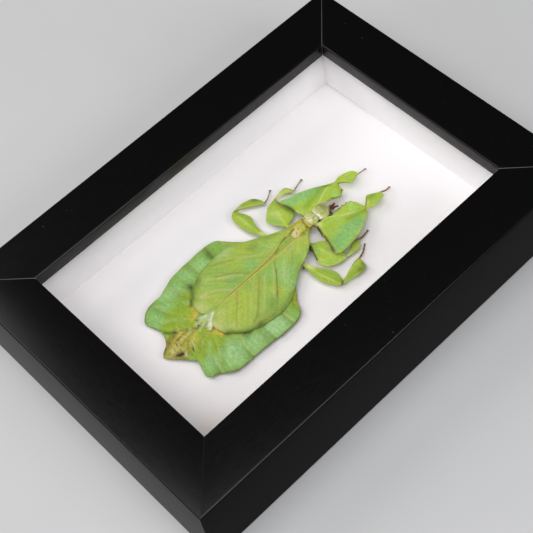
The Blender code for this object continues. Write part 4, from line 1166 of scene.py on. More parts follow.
body = {
    "voxel": 0.13,
    "grainScales": (1100, 420, 2400),
    # centre x, y, height, half width, half height
    "head": (
        (-1.9, 24.6, 13, 2.8, 0.8), (-1.85, 25.4, 13.1, 3.2, 1.1), (-1.8, 26.4, 13.1, 3.4, 1.35),
        (-1.75, 27.5, 13, 3.4, 1.45), (-1.65, 28.5, 12.8, 3, 1.4), (-1.4, 29.3, 12.6, 2.3, 1.2),
        (-0.9, 29.9, 12.4, 1.6, 0.95), (-0.5, 30.4, 12.2, 1, 0.7),
    ),
    "pronotum": (
        (-2.1, 19.9, 13.1, 2.6, 1.4), (-2.2, 20.7, 13.2, 3, 1.6), (-2.2, 22, 13.2, 3.1, 1.7),
        (-2.1, 23.2, 13.1, 3, 1.6), (-2, 24, 13, 2.9, 1.2), (-1.9, 24.8, 12.9, 2.7, 0.9),
    ),
    "mesothorax": (
        (-1.6, 10.6, 12.6, 3.8, 1.6), (-1.7, 11.6, 12.7, 4.2, 1.9), (-2, 14, 12.8, 4, 2),
        (-2.2, 17, 13, 3.3, 2), (-2.2, 19.2, 13.1, 3, 1.8), (-2.1, 20.4, 13.1, 2.6, 1.4),
    ),
    "metathorax": (
        (-0.2, 3.6, 11.5, 4, 1.2), (-0.3, 5, 11.6, 5.3, 1.4), (-0.4, 7, 11.8, 5.5, 1.7),
        (-0.8, 9.6, 12.2, 4.7, 1.7), (-1.2, 11.2, 12.5, 3.9, 1.6),
    ),
    # small rounded swellings: x, y, height, then half sizes
    "swellings": (
        (-4.9, 21.6, 12.9, 1.2, 1, 0.8), (1, 21.6, 12.9, 1.3, 1, 0.8), (-5.9, 13.5, 12.3, 1.3, 1, 0.8),
        (3.6, 13.4, 12.3, 2, 1, 0.8), (-6.3, 6.1, 11.5, 1.8, 1, 0.8), (5.6, 6.2, 11.5, 1.8, 1, 0.8),
        (-2.1, 13.2, 14.1, 1.7, 1.4, 0.8), (-1.9, 11.9, 14, 1.2, 1, 0.7),
        (-0.8, 16.6, 14.3, 0.7, 1.9, 0.8), (-3.9, 16.8, 14, 0.9, 1.6, 0.7),
        (-2.4, 17.6, 14.3, 0.8, 1.2, 0.6), (-3.5, 22.4, 14, 1, 1.1, 0.7), (-1, 22.4, 14, 1, 1.1, 0.7),
        (-2.6, 20.7, 14.2, 0.9, 0.7, 0.5), (-3.2, 27.2, 13.8, 1.1, 1.1, 0.6),
        (-0.6, 27.2, 13.8, 1.1, 1.1, 0.6),
    ),
    "keel": 1.35,
    "young": (182, 188, 62),
    "old": (178, 192, 108),
    "mint": (148, 154, 76),
    "vein": (214, 204, 140),
    "rim": (150, 136, 60),
    "brown": (134, 108, 38),
    "amber": (208, 172, 96),
    "pale": (242, 232, 216),
    "dark": (62, 46, 20),
    # width, strength, then x, y
    "browns": (
        (0.45, 0.7, (-4.8, 19.6), (-3.4, 18.9), (-1.6, 18.7), (-0.4, 18.4), (0.8, 19.2)),
        (0.5, 0.5, (0.9, 19.4), (0.8, 17.2)), (0.35, 0.4, (-4.1, 12.4), (-3.4, 11.5)),
        (0.35, 0.4, (-0.4, 12.7), (-0.1, 11.9)), (0.3, 0.4, (-4.4, 14.3), (-3.8, 13.9)),
        (0.4, 0.35, (-5.4, 17.2), (-5.3, 15.2), (-6.2, 13.6)), (0.3, 0.25, (-2.9, 17.6), (-2.7, 15.4)),
        (0.6, 0.75, (-0.9, 30.6), (0.2, 29.9), (1.2, 29.2)), (0.5, 0.4, (0.4, 21.2), (0.6, 19.9)),
    ),
    "darks": (
        (0.45, 1.2, (0.5, 23.8), (0.9, 22.8)), (0.3, 0.6, (-1.1, 18.6), (-0.9, 18.3)),
        (0.5, 0.35, (-4.6, 28.4), (-3.6, 29.2), (-2.6, 29.9)), (0.5, 0.35, (0.6, 21.4), (0.5, 20.2)),
    ),
    "pales": (
        (0.6, 1, (-4.4, 25.1), (0.5, 24.9)), (0.8, 0.8, (-3.2, 21.2), (-2.2, 21.2)),
        (1.3, 0.6, (-2.6, 13.5), (-1.4, 12.6)), (0.6, 0.4, (-5.4, 22.2), (-5, 21.4)),
        (0.6, 0.4, (1.6, 22), (2.4, 21.4)),
    ),
    "ambers": (
        (0.8, 0.4, (-4.2, 17.4), (-4, 15.8)), (1.4, 0.4, (-2.8, 13.6), (-1.2, 12.8)),
        (0.5, 0.3, (-2.6, 19.9), (-1.2, 19.7)), (0.5, 0.35, (-5.2, 22.6), (-5.2, 20.6)),
    ),
    "olives": (
        (1, 0.8, (-2.6, 28.4), (-1.4, 28.7)), (1.6, 0.4, (-3.2, 27.4), (-0.8, 27.2)),
        (0.6, 0.4, (-2.6, 11.2), (-1.2, 10.9)),
    ),
}


def loft(form, stations, keel, sides=28, squareness=0.85):
    rings = []
    for x, y, z, halfWidth, halfHeight in stations:
        centre = seenAt(x, y, z)
        ring = []
        for corner in range(sides):
            angle = 2 * math.pi * corner / sides
            side = math.copysign(abs(math.cos(angle)) ** squareness, math.cos(angle)) * halfWidth
            rise = math.sin(angle) * halfHeight * (keel if math.sin(angle) < 0 else 1)
            ring.append(form.verts.new((centre[0] + side * mm, centre[1], centre[2] + rise * mm)))
        rings.append(ring)
    bridge(form, rings)


def oneSkin(name, form, voxel, rounds=4):
    # overlapping closed forms become one closed skin, eased at the joins
    raw = placed(name + "_raw", meshOf(name + "_raw", form))
    remesh = raw.modifiers.new("skin", "REMESH")
    remesh.mode = "VOXEL"
    remesh.voxel_size = voxel * mm
    ease = raw.modifiers.new("ease", "SMOOTH")
    ease.factor = 0.5
    ease.iterations = rounds
    graph = bpy.context.evaluated_depsgraph_get()
    skin = bpy.data.meshes.new_from_object(raw.evaluated_get(graph))
    bpy.data.objects.remove(raw)
    skin.name = name
    return skin


def vertexValues(mesh, what):
    values = np.empty(len(mesh.vertices) * 3)
    mesh.vertices.foreach_get(what, values)
    return values.reshape(-1, 3)


def makeBody(v):
    form = bmesh.new()
    for part in ("metathorax", "mesothorax", "pronotum", "head"):
        loft(form, v[part], v["keel"])
    for x, y, z, *half in v["swellings"]:
        place = Matrix.Translation(Vector(seenAt(x, y, z))) @ Matrix.Diagonal((*[h * mm for h in half], 1))
        bmesh.ops.create_uvsphere(form, u_segments=20, v_segments=12, radius=1, matrix=place)
    mesh = oneSkin("body_skin", form, v["voxel"])
    points, normals = vertexValues(mesh, "co"), vertexValues(mesh, "normal")
    x, y = planOf(points)[:, :2].T
    grain, cells, pebbles = [
        np.array([noise.noise(Vector(p * scale)) for p in points]) for scale in v["grainScales"]
    ]
    browns, darks, pales, ambers, olives = allStrokes(
        x, y, v, "browns", "darks", "pales", "ambers", "olives"
    )
    fromMiddle = np.abs(x + 2.2)
    neck = ridge(y, 24.9, 0.3)
    collar = ridge(y, 20.2, 0.3) + ridge(y, 10.9, 0.35)
    groove = ridge(x, -2.2, 0.22) * smooth(21, 21.6, y) * smooth(24, 23.4, y)
    cross = ridge(y, 22.3, 0.2) * smooth(2.2, 1.2, fromMiddle)
    brow = ridge(y, 28.6, 0.3) * smooth(1.6, 0.6, np.abs(x + 1.8))
    push = 0.1 * pebbles + 0.14 * grain + 0.2 * cells
    push = push - 0.15 * neck - 0.2 * collar - 0.16 * groove - 0.14 * cross - 0.12 * brow
    points = points + normals * ((push - 0.2 * np.clip(browns, 0, 1)) * mm)[:, None]
    mesh.vertices.foreach_set("co", points.ravel())
    pits = smooth(0.05, 0.3, -cells)
    brown = browns + 0.22 * collar * smooth(-0.2, 0.3, cells) + 0.2 * groove
    brown = brown + 0.18 * pits * smooth(21, 18, y)
    bumps = smooth(0.12, 0.4, pebbles + 0.5 * grain)
    layers = skinLayers(
        x,
        (x * 0.8, y * 0.8),
        tone=smooth(19.2, 21.2, y) + 0.5 * cells - 0.3 * smooth(12, 9, y),
        brown=brown + 0.35 * smooth(0.15, 0.45, -grain) * smooth(26, 24, y),
        dark=darks,
        pale=pales * (0.75 + 1.2 * grain) + 0.28 * bumps * smooth(18.5, 21, y),
        amber=ambers,
        mint=olives + 0.2 * smooth(25.8, 26.8, y) + 0.25 * pits * smooth(20.6, 21.4, y),
    )
    addLayers(mesh, layers)
    finish = leafFinish("bodySkin", v, veinWidth=0.25, netSize=0.6, depth=0.1)
    piece = finishMesh("body_skin", mesh, finish)
    return settle(piece, "thorax_ochre", "head", "pronotum", "mesothorax", "metathorax")


makeBody(body)
print("body made")

legs = {
    "mesh": (12, 20),
    "sheet": 0.34,
    "shaftWidth": 0.5,
    "edgeRadius": 0.22,
    "tibiaLifts": (0.4, 0.2),
    "swell": 0.2,
    "ruffle": 0.14,
    "ribRise": 0.04,
    "young": (172, 196, 58),
    "old": (132, 184, 102),
    "mint": (152, 210, 116),
    "vein": (196, 198, 116),
    "rim": (168, 172, 80),
    "brown": (108, 94, 24),
    "amber": (134, 164, 42),
    "pale": (206, 212, 128),
    "dark": (52, 50, 22),
    # heights of the femur's root, knee, tibia's tip and claws; how far the femur's two lobes rise;
    # thickness along the shaft
    "heights": {
        "front_left": (13.2, 12.6, 12.0, 9.8, 2.0, 0.4, 0.75),
        "front_right": (13.2, 12.6, 12.0, 9.8, 1.4, 0.4, 0.75),
        "mid_left": (12.6, 10.6, 10.4, 9.3, 0.5, -0.8, 0.5),
        "mid_right": (12.6, 10.6, 10.4, 9.3, 0.5, -0.8, 0.5),
        "hind_left": (11.5, 10.8, 10.4, 9.3, 0.5, 0.5, 0.65),
        "hind_right": (11.5, 10.8, 10.4, 9.3, 0.5, 0.5, 0.65),
    },
    # outer margin x, y, shaft x, y, inner margin x, y, from the root out
    "femora": {
        "front_left": (
            (-4.6, 21, -4.6, 22.3, -4.6, 23), (-8.6, 20.2, -5.8, 23.4, -4.9, 23.9),
            (-13, 19.6, -6, 24.7, -4.8, 25.1), (-17.3, 18.5, -6, 26.2, -4.8, 26.6),
            (-16.3, 22.8, -6.2, 28, -5.2, 28.3), (-15, 27.2, -6.5, 30.2, -4.4, 30.3),
            (-13.2, 31.2, -7.3, 32.8, -3.4, 32.6), (-10.9, 35.2, -7.9, 35.4, -2.5, 35.2),
            (-9.2, 37.9, -7.6, 37.6, -1.2, 37.3), (-8.8, 38.8, -7.4, 38.6, -2.5, 38.6),
            (-8.5, 39.5, -7.3, 39.4, -3.1, 40.1), (-8.2, 40.2, -7.25, 40.2, -4.6, 40.3),
            (-7.9, 40.8, -7.2, 40.8, -6.2, 40.9),
        ),
        "front_right": (
            (1, 20.7, 0.9, 22, 0.9, 23), (5.6, 19.6, 2.4, 23.4, 1.2, 24),
            (10.2, 18.8, 3, 25, 1.1, 25.5), (14.4, 17.1, 3.6, 26.6, 1.5, 27),
            (17.2, 19, 4.2, 28.2, 2.5, 28.6), (17, 24.6, 4.9, 30, 2.3, 30.6),
            (16.3, 29.2, 5.8, 31.9, 2.2, 32.7), (14.9, 32.8, 6.8, 33.9, 2.5, 35),
            (13.2, 36, 7.9, 36.1, 3.1, 37.3), (11.8, 38.5, 8.8, 38.2, 5.4, 39.4),
            (10.5, 40.2, 9.6, 40.1, 8.6, 40.1),
        ),
        "mid_left": (
            (-5.2, 12.8, -5.2, 13.5, -5.2, 14.2), (-7.1, 12.7, -6.9, 13.5, -6.9, 14.3),
            (-9.2, 11.4, -8.2, 14, -7.7, 16.4), (-13.5, 9.3, -11, 14.8, -9.1, 19.2),
            (-16.1, 10.8, -13.5, 15.7, -12, 20.2), (-18.4, 13.6, -16, 16.8, -15.2, 20.2),
            (-19.4, 16.2, -17.9, 17.7, -17.6, 19.2), (-19.8, 18.2, -19.4, 18.6, -18.9, 19),
        ),
        "mid_right": (
            (2.4, 12.8, 2.4, 13.5, 2.4, 14.2), (5.8, 12.8, 5.9, 13.5, 6, 14.2),
            (8.2, 12.1, 8.4, 14.3, 7.6, 17.2), (11.2, 10.5, 11.2, 15, 9.5, 18.8),
            (14.2, 9.6, 13.6, 15.7, 12.5, 20.1), (17.1, 10.2, 16, 16.6, 15.5, 20.4),
            (19.2, 12.9, 18.1, 17.3, 17.8, 19.8), (20.3, 16.2, 19.4, 18, 18.8, 19.2),
            (20.4, 18.3, 20, 18.7, 19.5, 19.2),
        ),
        "hind_left": (
            (-5.4, 4.8, -5.4, 5.5, -5.4, 6.2), (-8, 4.6, -8, 5.2, -8, 5.8),
            (-10.5, 3.6, -10.5, 4.4, -10.5, 5.2), (-13.2, 2.4, -13.2, 4.1, -13.4, 5.2),
            (-16.2, 1.4, -16.4, 4, -16.8, 5.6), (-20, 0.9, -20.1, 4, -20.2, 6.8),
            (-23.8, 1, -23.6, 3.9, -22.9, 6.4), (-26.2, 1.9, -25.9, 3.8, -25, 5.4),
            (-27.5, 3.3, -27.1, 4.1, -26.6, 4.8),
        ),
        "hind_right": (
            (4.6, 5.4, 4.6, 6.2, 4.6, 7), (7, 4.6, 7, 5.3, 7, 6), (11.2, 4.8, 11.2, 5.6, 11.1, 6.4),
            (13.8, 4.5, 13.7, 5.8, 13.4, 7.1), (17, 4.1, 16.8, 6.3, 16.3, 8.5),
            (20.4, 4.5, 20.2, 7, 19.4, 10.4), (23.2, 5.6, 23, 7.7, 22.2, 11.2),
            (25.8, 6.9, 25.3, 8.4, 24.8, 10.8), (27.4, 8.4, 27.1, 9.1, 26.7, 9.7),
        ),
    },
    "tibiae": {
        "front_left": (
            (-8, 40.5, -7.3, 40.5, -6.5, 40.5), (-8.6, 43, -6.9, 42.7, -4.9, 42.7),
            (-8.3, 45, -6.3, 44.6, -2.9, 44.6), (-7.7, 47.2, -5.4, 46.8, -3, 46.6),
            (-6.7, 49, -4.7, 48.6, -3.5, 48.4), (-4.7, 49.7, -4.1, 49.7, -3.6, 49.7),
        ),
        "front_right": (
            (10.7, 40.1, 9.9, 40.05, 9, 40.05), (11.4, 42.6, 9.6, 42.6, 7.4, 42.1),
            (11.5, 45, 9.4, 44.8, 5.9, 44.5), (11.1, 47.4, 9.2, 47, 7.3, 46.9),
            (10.6, 48.8, 9.1, 48.6, 8.2, 48.3), (9.5, 49.3, 9, 49.3, 8.5, 49.2),
        ),
        "mid_left": (
            (-20, 18.8, -19.5, 18.8, -19, 18.8), (-20.5, 21.2, -19.7, 21.1, -19.1, 21.2),
            (-20.8, 23.8, -19, 23.5, -18.2, 23.4), (-20.5, 25.6, -18.2, 25.2, -17.3, 25),
            (-17.7, 26.8, -17.1, 26.8, -16.6, 26.7),
        ),
        "mid_right": (
            (20.4, 18.9, 19.9, 18.9, 19.4, 18.9), (20.8, 22, 19.2, 21.8, 18.6, 21.6),
            (20.9, 24.6, 18.3, 24, 17.7, 23.8), (20.1, 26.1, 17.9, 25.4, 17.3, 25.2),
            (18.2, 27.1, 17.8, 27.1, 17.3, 27),
        ),
        "hind_left": (
            (-27.7, 4.1, -27.3, 4.3, -26.7, 4.5), (-27.8, 7.6, -26.4, 7.3, -25.8, 7.1),
            (-27.5, 10.2, -25.3, 9.2, -24.6, 8.9), (-26.4, 13.1, -23.8, 11.3, -23.1, 11),
            (-24.4, 14.7, -22.5, 13.1, -21.9, 12.8), (-21.8, 15.2, -21.3, 14.9, -20.8, 14.6),
        ),
        "hind_right": (
            (27.7, 9.2, 27.1, 9.2, 26.5, 9.3), (28.1, 12.5, 26.4, 12.3, 25.8, 12.1),
            (28.8, 16, 25.4, 15.5, 24.7, 15.2), (29, 18.8, 24.6, 18.2, 23.9, 17.9),
            (27.8, 20.9, 24.2, 20, 23.6, 19.6), (24.6, 21.5, 24, 21.5, 23.5, 21.4),
        ),
    },
    # toothed margins of a femur: side, first and last station, how far the teeth stand out, pitch
    "teeth": {
        "front_left": ((0, 0.8, 3.2, 0.6, 1.6), (1, 5.6, 10.4, 0.5, 1.3)),
        "front_right": ((0, 0.8, 3.6, 1, 2.3), (1, 4.8, 9, 0.7, 1.9)),
    },
    # soft marks of each leg: width, strength, then x, y; the blue-green fields come as "cool"
    "marks": {
        "front_left": {
            "cool": ((2.6, 1.1, (-14.8, 21.4), (-13.8, 25), (-12.2, 29.5), (-10.8, 33)),),
            "ambers": (
                (1.4, 0.8, (-9.8, 37.2), (-9.5, 34), (-8.8, 30), (-8, 25)),
                (0.8, 0.4, (-5.4, 39.6), (-3.6, 38.6)),
            ),
            "pales": (
                (0.35, 0.7, (-9.4, 20.6), (-6.4, 21.4), (-4.9, 21.9)),
                (0.22, 1, (-5.5, 29), (-6.4, 31.5), (-7.6, 34.6), (-8.1, 37)),
                (0.5, 0.35, (-16.4, 21.5), (-14.9, 27.4), (-12.9, 32)),
            ),
            "browns": (
                (0.6, 0.8, (-17.6, 18.4), (-15.3, 19), (-12.6, 20), (-9.4, 19.9)),
                (0.4, 0.7, (-1.5, 36.6), (-2.2, 35.4), (-3.3, 34.2)),
                (0.3, 0.35, (-3.3, 34.2), (-3.7, 32)), (0.4, 0.7, (-3.2, 39.6), (-2.4, 38.8)),
                (0.35, 0.5, (-6.4, 40.9), (-5.4, 40.3)),
                (0.4, 0.6, (-3.4, 43.8), (-5.6, 42.2), (-6.3, 41.2)),
                (0.35, 0.4, (-3.4, 48.6), (-3, 46.8)),
            ),
            # painted shadow under the rear margin near the root, over the margin's own dark edge
            "darks": (
                (0.45, 0.8, (-14.2, 19.3), (-11, 20), (-9, 19.8)), (0.5, 0.5, (-8.2, 20), (-6.2, 20.7)),
            ),
            "mints": ((1, 0.8, (-3.8, 36.8), (-3.3, 36.2)), (1, 0.3, (-5.4, 44.4), (-4.6, 44.6))),
        },
        "front_right": {
            "cool": ((3.3, 1.1, (13.6, 21), (12.9, 25), (12.4, 29.5), (12.2, 32.5)),),
            "ambers": (
                (1.2, 0.8, (10.2, 38.6), (9.3, 35), (8.4, 31.6)), (1.3, 0.3, (4.6, 22.4), (6, 25)),
                (1.3, 0.9, (7.4, 44.4), (7.6, 46.2)), (0.7, 0.8, (17.2, 19.6), (17.1, 24), (16.4, 28)),
            ),
            "pales": (
                (1.2, 0.9, (0.9, 22), (2.8, 21.5)),
                (0.5, 0.6, (3.2, 28.4), (4.6, 30.2), (6, 32.5), (8, 35.6)),
                (0.4, 0.7, (10.6, 39.2), (9.8, 40.4), (8.6, 42.6)),
                (0.5, 0.35, (17, 24), (16, 29), (14, 33.6)),
            ),
            "browns": (
                (
                    0.6, 0.95, (2, 20.9), (3.4, 20.6), (5.2, 19.8), (7.4, 19.6), (9, 19.1), (12.6, 18),
                    (14.8, 17.3),
                ),
                (0.4, 0.6, (2.2, 33.8), (2.3, 32.2), (2.4, 30.8)),
                (0.3, 0.55, (6.1, 44), (8, 41.8), (9.6, 40.1), (10.4, 38.8)),
                (0.35, 0.5, (7.4, 47.4), (8.4, 48.4)), (0.35, 0.4, (2.6, 34.6), (2.6, 36.4)),
            ),
            # mostly painted shadow along the rear margin near the root
            "darks": (
                (0.6, 1.1, (2.6, 20.5), (3.6, 20.3), (4.6, 19.9), (5.6, 19.6)),
                (0.4, 0.5, (8.6, 19.2), (12, 18.1), (14, 17.4)), (0.5, 0.4, (2.2, 33.2), (2.4, 32)),
            ),
            "mints": (
                (1.4, 0.5, (4.6, 37), (5.4, 36)), (1.8, 0.3, (13.6, 29), (14.4, 24)),
                (1, 0.5, (16.2, 22.4), (16, 20.6)),
            ),
        },
        "mid_left": {
            "cool": ((1.6, 0.3, (-10.5, 12.5), (-12, 11.5)),),
            "ambers": ((1.2, 0.5, (-12, 18.8), (-9.8, 18.2)), (0.8, 0.3, (-18, 17.8), (-16, 18.4))),
            "pales": (
                (1.2, 0.5, (-19.4, 22.6), (-18.8, 25)), (1.5, 0.5, (-15.4, 13.8), (-13, 14.8)),
                (0.5, 0.3, (-9, 13.6), (-12, 14.2)), (1, 0.8, (-20, 19.4), (-19.9, 21.4)),
            ),
            "browns": (
                (0.4, 0.6, (-5.4, 13.3), (-6.8, 13.6)), (0.3, 0.5, (-17.4, 25), (-18.4, 23.2)),
                (0.3, 0.4, (-19.6, 25.9), (-17.4, 26.7)), (0.35, 0.6, (-19.3, 18.8), (-17.8, 19)),
            ),
            "darks": ((0.3, 0.2, (-19, 18.9), (-16, 19.3)),),
            "mints": (),
        },
        "mid_right": {
            "cool": ((1.6, 0.25, (9, 13), (11, 12)),),
            "ambers": (),
            # the first and third pale bands are painted light on the femur's top and the tibia, where the
            # front leaf shades them; the others are pale marks
            "pales": (
                (1.4, 0.3, (9, 18.4), (13, 17.6), (18, 18.4)), (1.1, 0.7, (20.2, 18.6), (20, 20.4)),
                (1.2, 0.3, (19.6, 22), (19.6, 25)), (0.5, 0.3, (10, 14.4), (14, 14.9), (17, 16)),
                (0.8, 0.3, (13, 11.4), (15, 11.4)), (0.5, 0.35, (19.6, 16.6), (18.8, 13.6)),
            ),
            "browns": (
                (0.3, 0.9, (19.3, 19.2), (18.5, 21.6), (17.7, 23.8), (17.3, 25.4), (17.7, 27)),
                (0.4, 0.5, (6, 13.6), (6.6, 14.4)),
            ),
            # the dark line along the femur's lower margin is partly the root's own dark colour and partly
            # painted shadow
            "darks": (
                (0.45, 1, (6.4, 12.9), (8.2, 12.1), (10.4, 11), (12.6, 10.2)),
                (0.2, 0.5, (19.2, 19.6), (18.4, 22)),
            ),
            "mints": ((0.9, 0.8, (15.9, 12.6), (16.1, 12.5)),),
        },
        "hind_left": {
            "cool": (),
            "ambers": (
                (1.3, 0.8, (-25.2, 4.8), (-21.6, 5.8), (-17, 5), (-13.4, 4.6)),
                (1.4, 0.6, (-27, 9), (-25.6, 12), (-23.6, 13.8)),
            ),
            "pales": (
                (0.5, 0.4, (-24, 3.6), (-18, 3.7), (-12, 4.2)), (1.4, 0.6, (-12.4, 4.2), (-10, 4.5)),
                (0.7, 0.8, (-26.2, 6.4), (-24.2, 9.6), (-21.6, 13.4)),
            ),
            "browns": (
                (0.35, 0.6, (-26.6, 5.4), (-25.4, 7.8), (-23.4, 10.8), (-21.4, 13.8)),
                (0.35, 0.6, (-27, 3.9), (-26.4, 5.2)), (0.35, 0.4, (-24, 14.4), (-21.6, 14.9)),
            ),
            "darks": ((0.9, 0.6, (-25.8, 13), (-24.9, 13.8)),),
            "mints": (),
        },
        "hind_right": {
            "cool": (),
            "ambers": (
                (1.4, 0.8, (26, 9.4), (23, 9.6), (19.6, 8.8), (16.4, 7.2)),
                (1.8, 0.5, (27, 12.5), (27.2, 15.5), (27.2, 18)),
            ),
            "pales": (
                (0.5, 0.45, (12.4, 6), (18, 6.4), (24, 7.8)), (1.2, 0.5, (11.6, 5.7), (13, 6)),
                (0.6, 0.7, (26.4, 10.4), (25.2, 14.6), (24.1, 18.6)),
                (0.5, 0.8, (26.7, 8.6), (27.1, 8.3)),
            ),
            "browns": (
                (0.35, 0.7, (25.4, 10.4), (26.8, 9.6), (27.3, 8.6)),
                (0.3, 0.6, (26, 10.6), (26.9, 9.6)), (0.3, 0.6, (23.7, 20), (24.4, 17.2)),
                (0.3, 0.5, (24.2, 21.2), (26.4, 20.9)),
            ),
            "darks": ((1.2, 0.5, (28.2, 19.2), (27.9, 17.8)), (0.6, 0.4, (26.4, 20.4), (27.6, 20.6))),
            "mints": (),
        },
    },
}


def toothRow(margins, at, edge, seed):
    # how far a margin's teeth stand out at each station, and where along it they are
    first, final, stand, pitch = edge
    gone = np.concatenate(((0,), np.cumsum(np.linalg.norm(np.diff(margins, axis=0), axis=1))))
    gone = gone + 0.5 * cloud(gone, 3.0, 2.6, seed)
    uneven = 1 + 0.6 * cloud(gone, 8.0, 1.7, seed)
    saw = 1 - np.abs((gone / pitch) % 1 - 0.35) / 0.65
    along = smooth(first, first + 0.3, at) * smooth(final, final - 0.3, at)
    return (saw * stand * uneven)[:, None], along[:, None]


def leafPart(v, stations, heights, lifts, shaftThick, teeth, marks, seed):
    # one leafy half of a leg: grid places, heights, half thickness and skin layers
    perRow, perSide = v["mesh"]
    last, at, rows = stationRows(stations, perRow)
    share = (at / last)[:, None]
    side = np.linspace(-1, 1, 2 * perSide + 1)
    side = np.sign(side) * np.abs(side) ** 1.25
    part = np.abs(side)[None, :]
    isOuter = (side < 0)[None, :]
    outer, shaft, inner = rows[:, None, 0:2], rows[:, None, 2:4], rows[:, None, 4:6]
    margin = np.where(isOuter[..., None], outer, inner)
    reach = np.maximum(np.linalg.norm(margin - shaft, axis=2), 0.3)
    step = np.linalg.norm(np.diff(rows[:, 2:4], axis=0), axis=1)
    alongShaft = np.concatenate(((0,), np.cumsum(step)))[:, None]
    outward = 0.22 * cloud(alongShaft / 2.1, np.sign(side)[None, :] * 7, 1.0, seed)
    toothed = 0 * outward
    for edgeSide, *edge in teeth:
        stands, along = toothRow(rows[:, 4:6] if edgeSide else rows[:, 0:2], at, edge, seed)
        along = along * (~isOuter if edgeSide else isOuter)
        outward = outward + stands * along
        toothed = toothed + along
    grown = part * (1 + outward * smooth(0.4, 1.0, part) / reach * smooth(0.6, 2.0, reach))
    spot = shaft + (margin - shaft) * grown[..., None]
    x, y = spot[..., 0], spot[..., 1]
    away = part * reach
    inset = (1 - part) * reach
    slim = smooth(0.4, 1.6, reach)
    lift = np.where(isOuter, lifts[0], lifts[1]) * np.sin(math.pi * share) * part**1.5
    z = heights[0] + (heights[1] - heights[0]) * share + lift
    waves = v["swell"] * cloud(x, y, 2.6, seed) + v["ruffle"] * cloud(x, y, 1.2, seed + 3)
    z = z + waves * slim * smooth(0.1, 0.6, part)
    rib = (alongShaft - 0.9 * away) / 1.7
    ribs = v["ribRise"] * np.sin(2 * math.pi * rib) * slim * smooth(0.1, 0.3, part)
    thick = v["sheet"] + (shaftThick - v["sheet"]) * ridge(away, 0, v["shaftWidth"]) + ribs
    ends = np.minimum(alongShaft, alongShaft[-1] - alongShaft)
    half = thick / 2 * edgeFullness(np.minimum(inset, ends + 0.15), v["edgeRadius"])
    knee = smooth(0.06, 0.0, share) + smooth(0.96, 1.0, share)
    cool, brown, dark, pale, amber, mint = allStrokes(
        x, y, marks, "cool", "browns", "darks", "pales", "ambers", "mints"
    )
    layers = skinLayers(
        x,
        (away * 0.3 + seed, rib * 1.6),
        tone=0.18 + 0.25 * cloud(x, y, 3, 5) + cool,
        brown=brown + 0.25 * knee + 0.3 * smooth(0.7, 0.1, inset) * toothed,
        dark=dark,
        margin=inset,
        pale=pale,
        amber=amber,
        mint=mint,
    )
    return x, y, z, half, layers


def joinPieces(name, pieces):
    # several meshes of one finish become one piece
    form = bmesh.new()
    for piece in pieces:
        form.from_mesh(piece.data)
    material = pieces[0].data.materials[0]
    for piece in pieces:
        bpy.data.objects.remove(piece)
    return finishMesh(name, meshOf(name, form), material)


def makeLegs(v):
    finish = leafFinish("legSkin", v, rimWidth=0.3, netSize=0.8)
    for number, (leg, sizes) in enumerate(v["heights"].items()):
        root, knee, ankle, _, outerLift, innerLift, shaft = sizes
        halves = []
        for bone, stations, heights, lifts in (
            ("femur", v["femora"][leg], (root, knee), (outerLift, innerLift)),
            ("tibia", v["tibiae"][leg], (knee, ankle), v["tibiaLifts"]),
        ):
            teeth = v["teeth"].get(leg, ()) if bone == "femur" else ()
            seed = number * 7.3 + len(bone)
            shape = leafPart(v, stations, heights, lifts, shaft, teeth, v["marks"][leg], seed)
            halves.append(closedSheet(f"{bone}_{leg}_skin", *shape, finish))
        leaf = joinPieces(f"leg_{leg}", halves)
        settle(leaf, "leg_green", f"femur_{leg}", f"tibia_{leg}")


makeLegs(legs)
print("leg leaves made")

feet = {
    # from the tibia out, x and y
    "paths": {
        "front_left": ((-3.85, 49.3), (-3.65, 51.2), (-3.45, 53)),
        "front_right": ((8.8, 49), (9.7, 51), (9.7, 52.9)),
        "mid_left": ((-16.9, 26.7), (-17.7, 29.3), (-18.5, 32.3)),
        "mid_right": ((17.8, 27), (18.1, 29.6), (17.6, 32.4)),
        "hind_left": ((-21.3, 14.9), (-22, 17.2), (-23.9, 20.4)),
        "hind_right": ((24, 21.4), (23.1, 24.3), (21.2, 27.2)),
    },
    "joints": 5,
    "radius": (0.32, 0.38),
    # claws: reach, drop and radius along one hook, and how far the two turn apart
    "hook": ((-0.3, 0, 0.16), (0.1, 0.1, 0.2), (0.4, 0.12, 0.18), (0.62, 0, 0.12), (0.8, -0.28, 0.04)),
    "clawTurn": 38,
    # reach and radius of the pad between the claws
    "pad": ((-0.2, 0.16), (0.1, 0.32), (0.35, 0.28), (0.5, 0.1)),
    "pale": (182, 160, 130),
    "red": (158, 98, 70),
    "claw": (56, 38, 30),
}
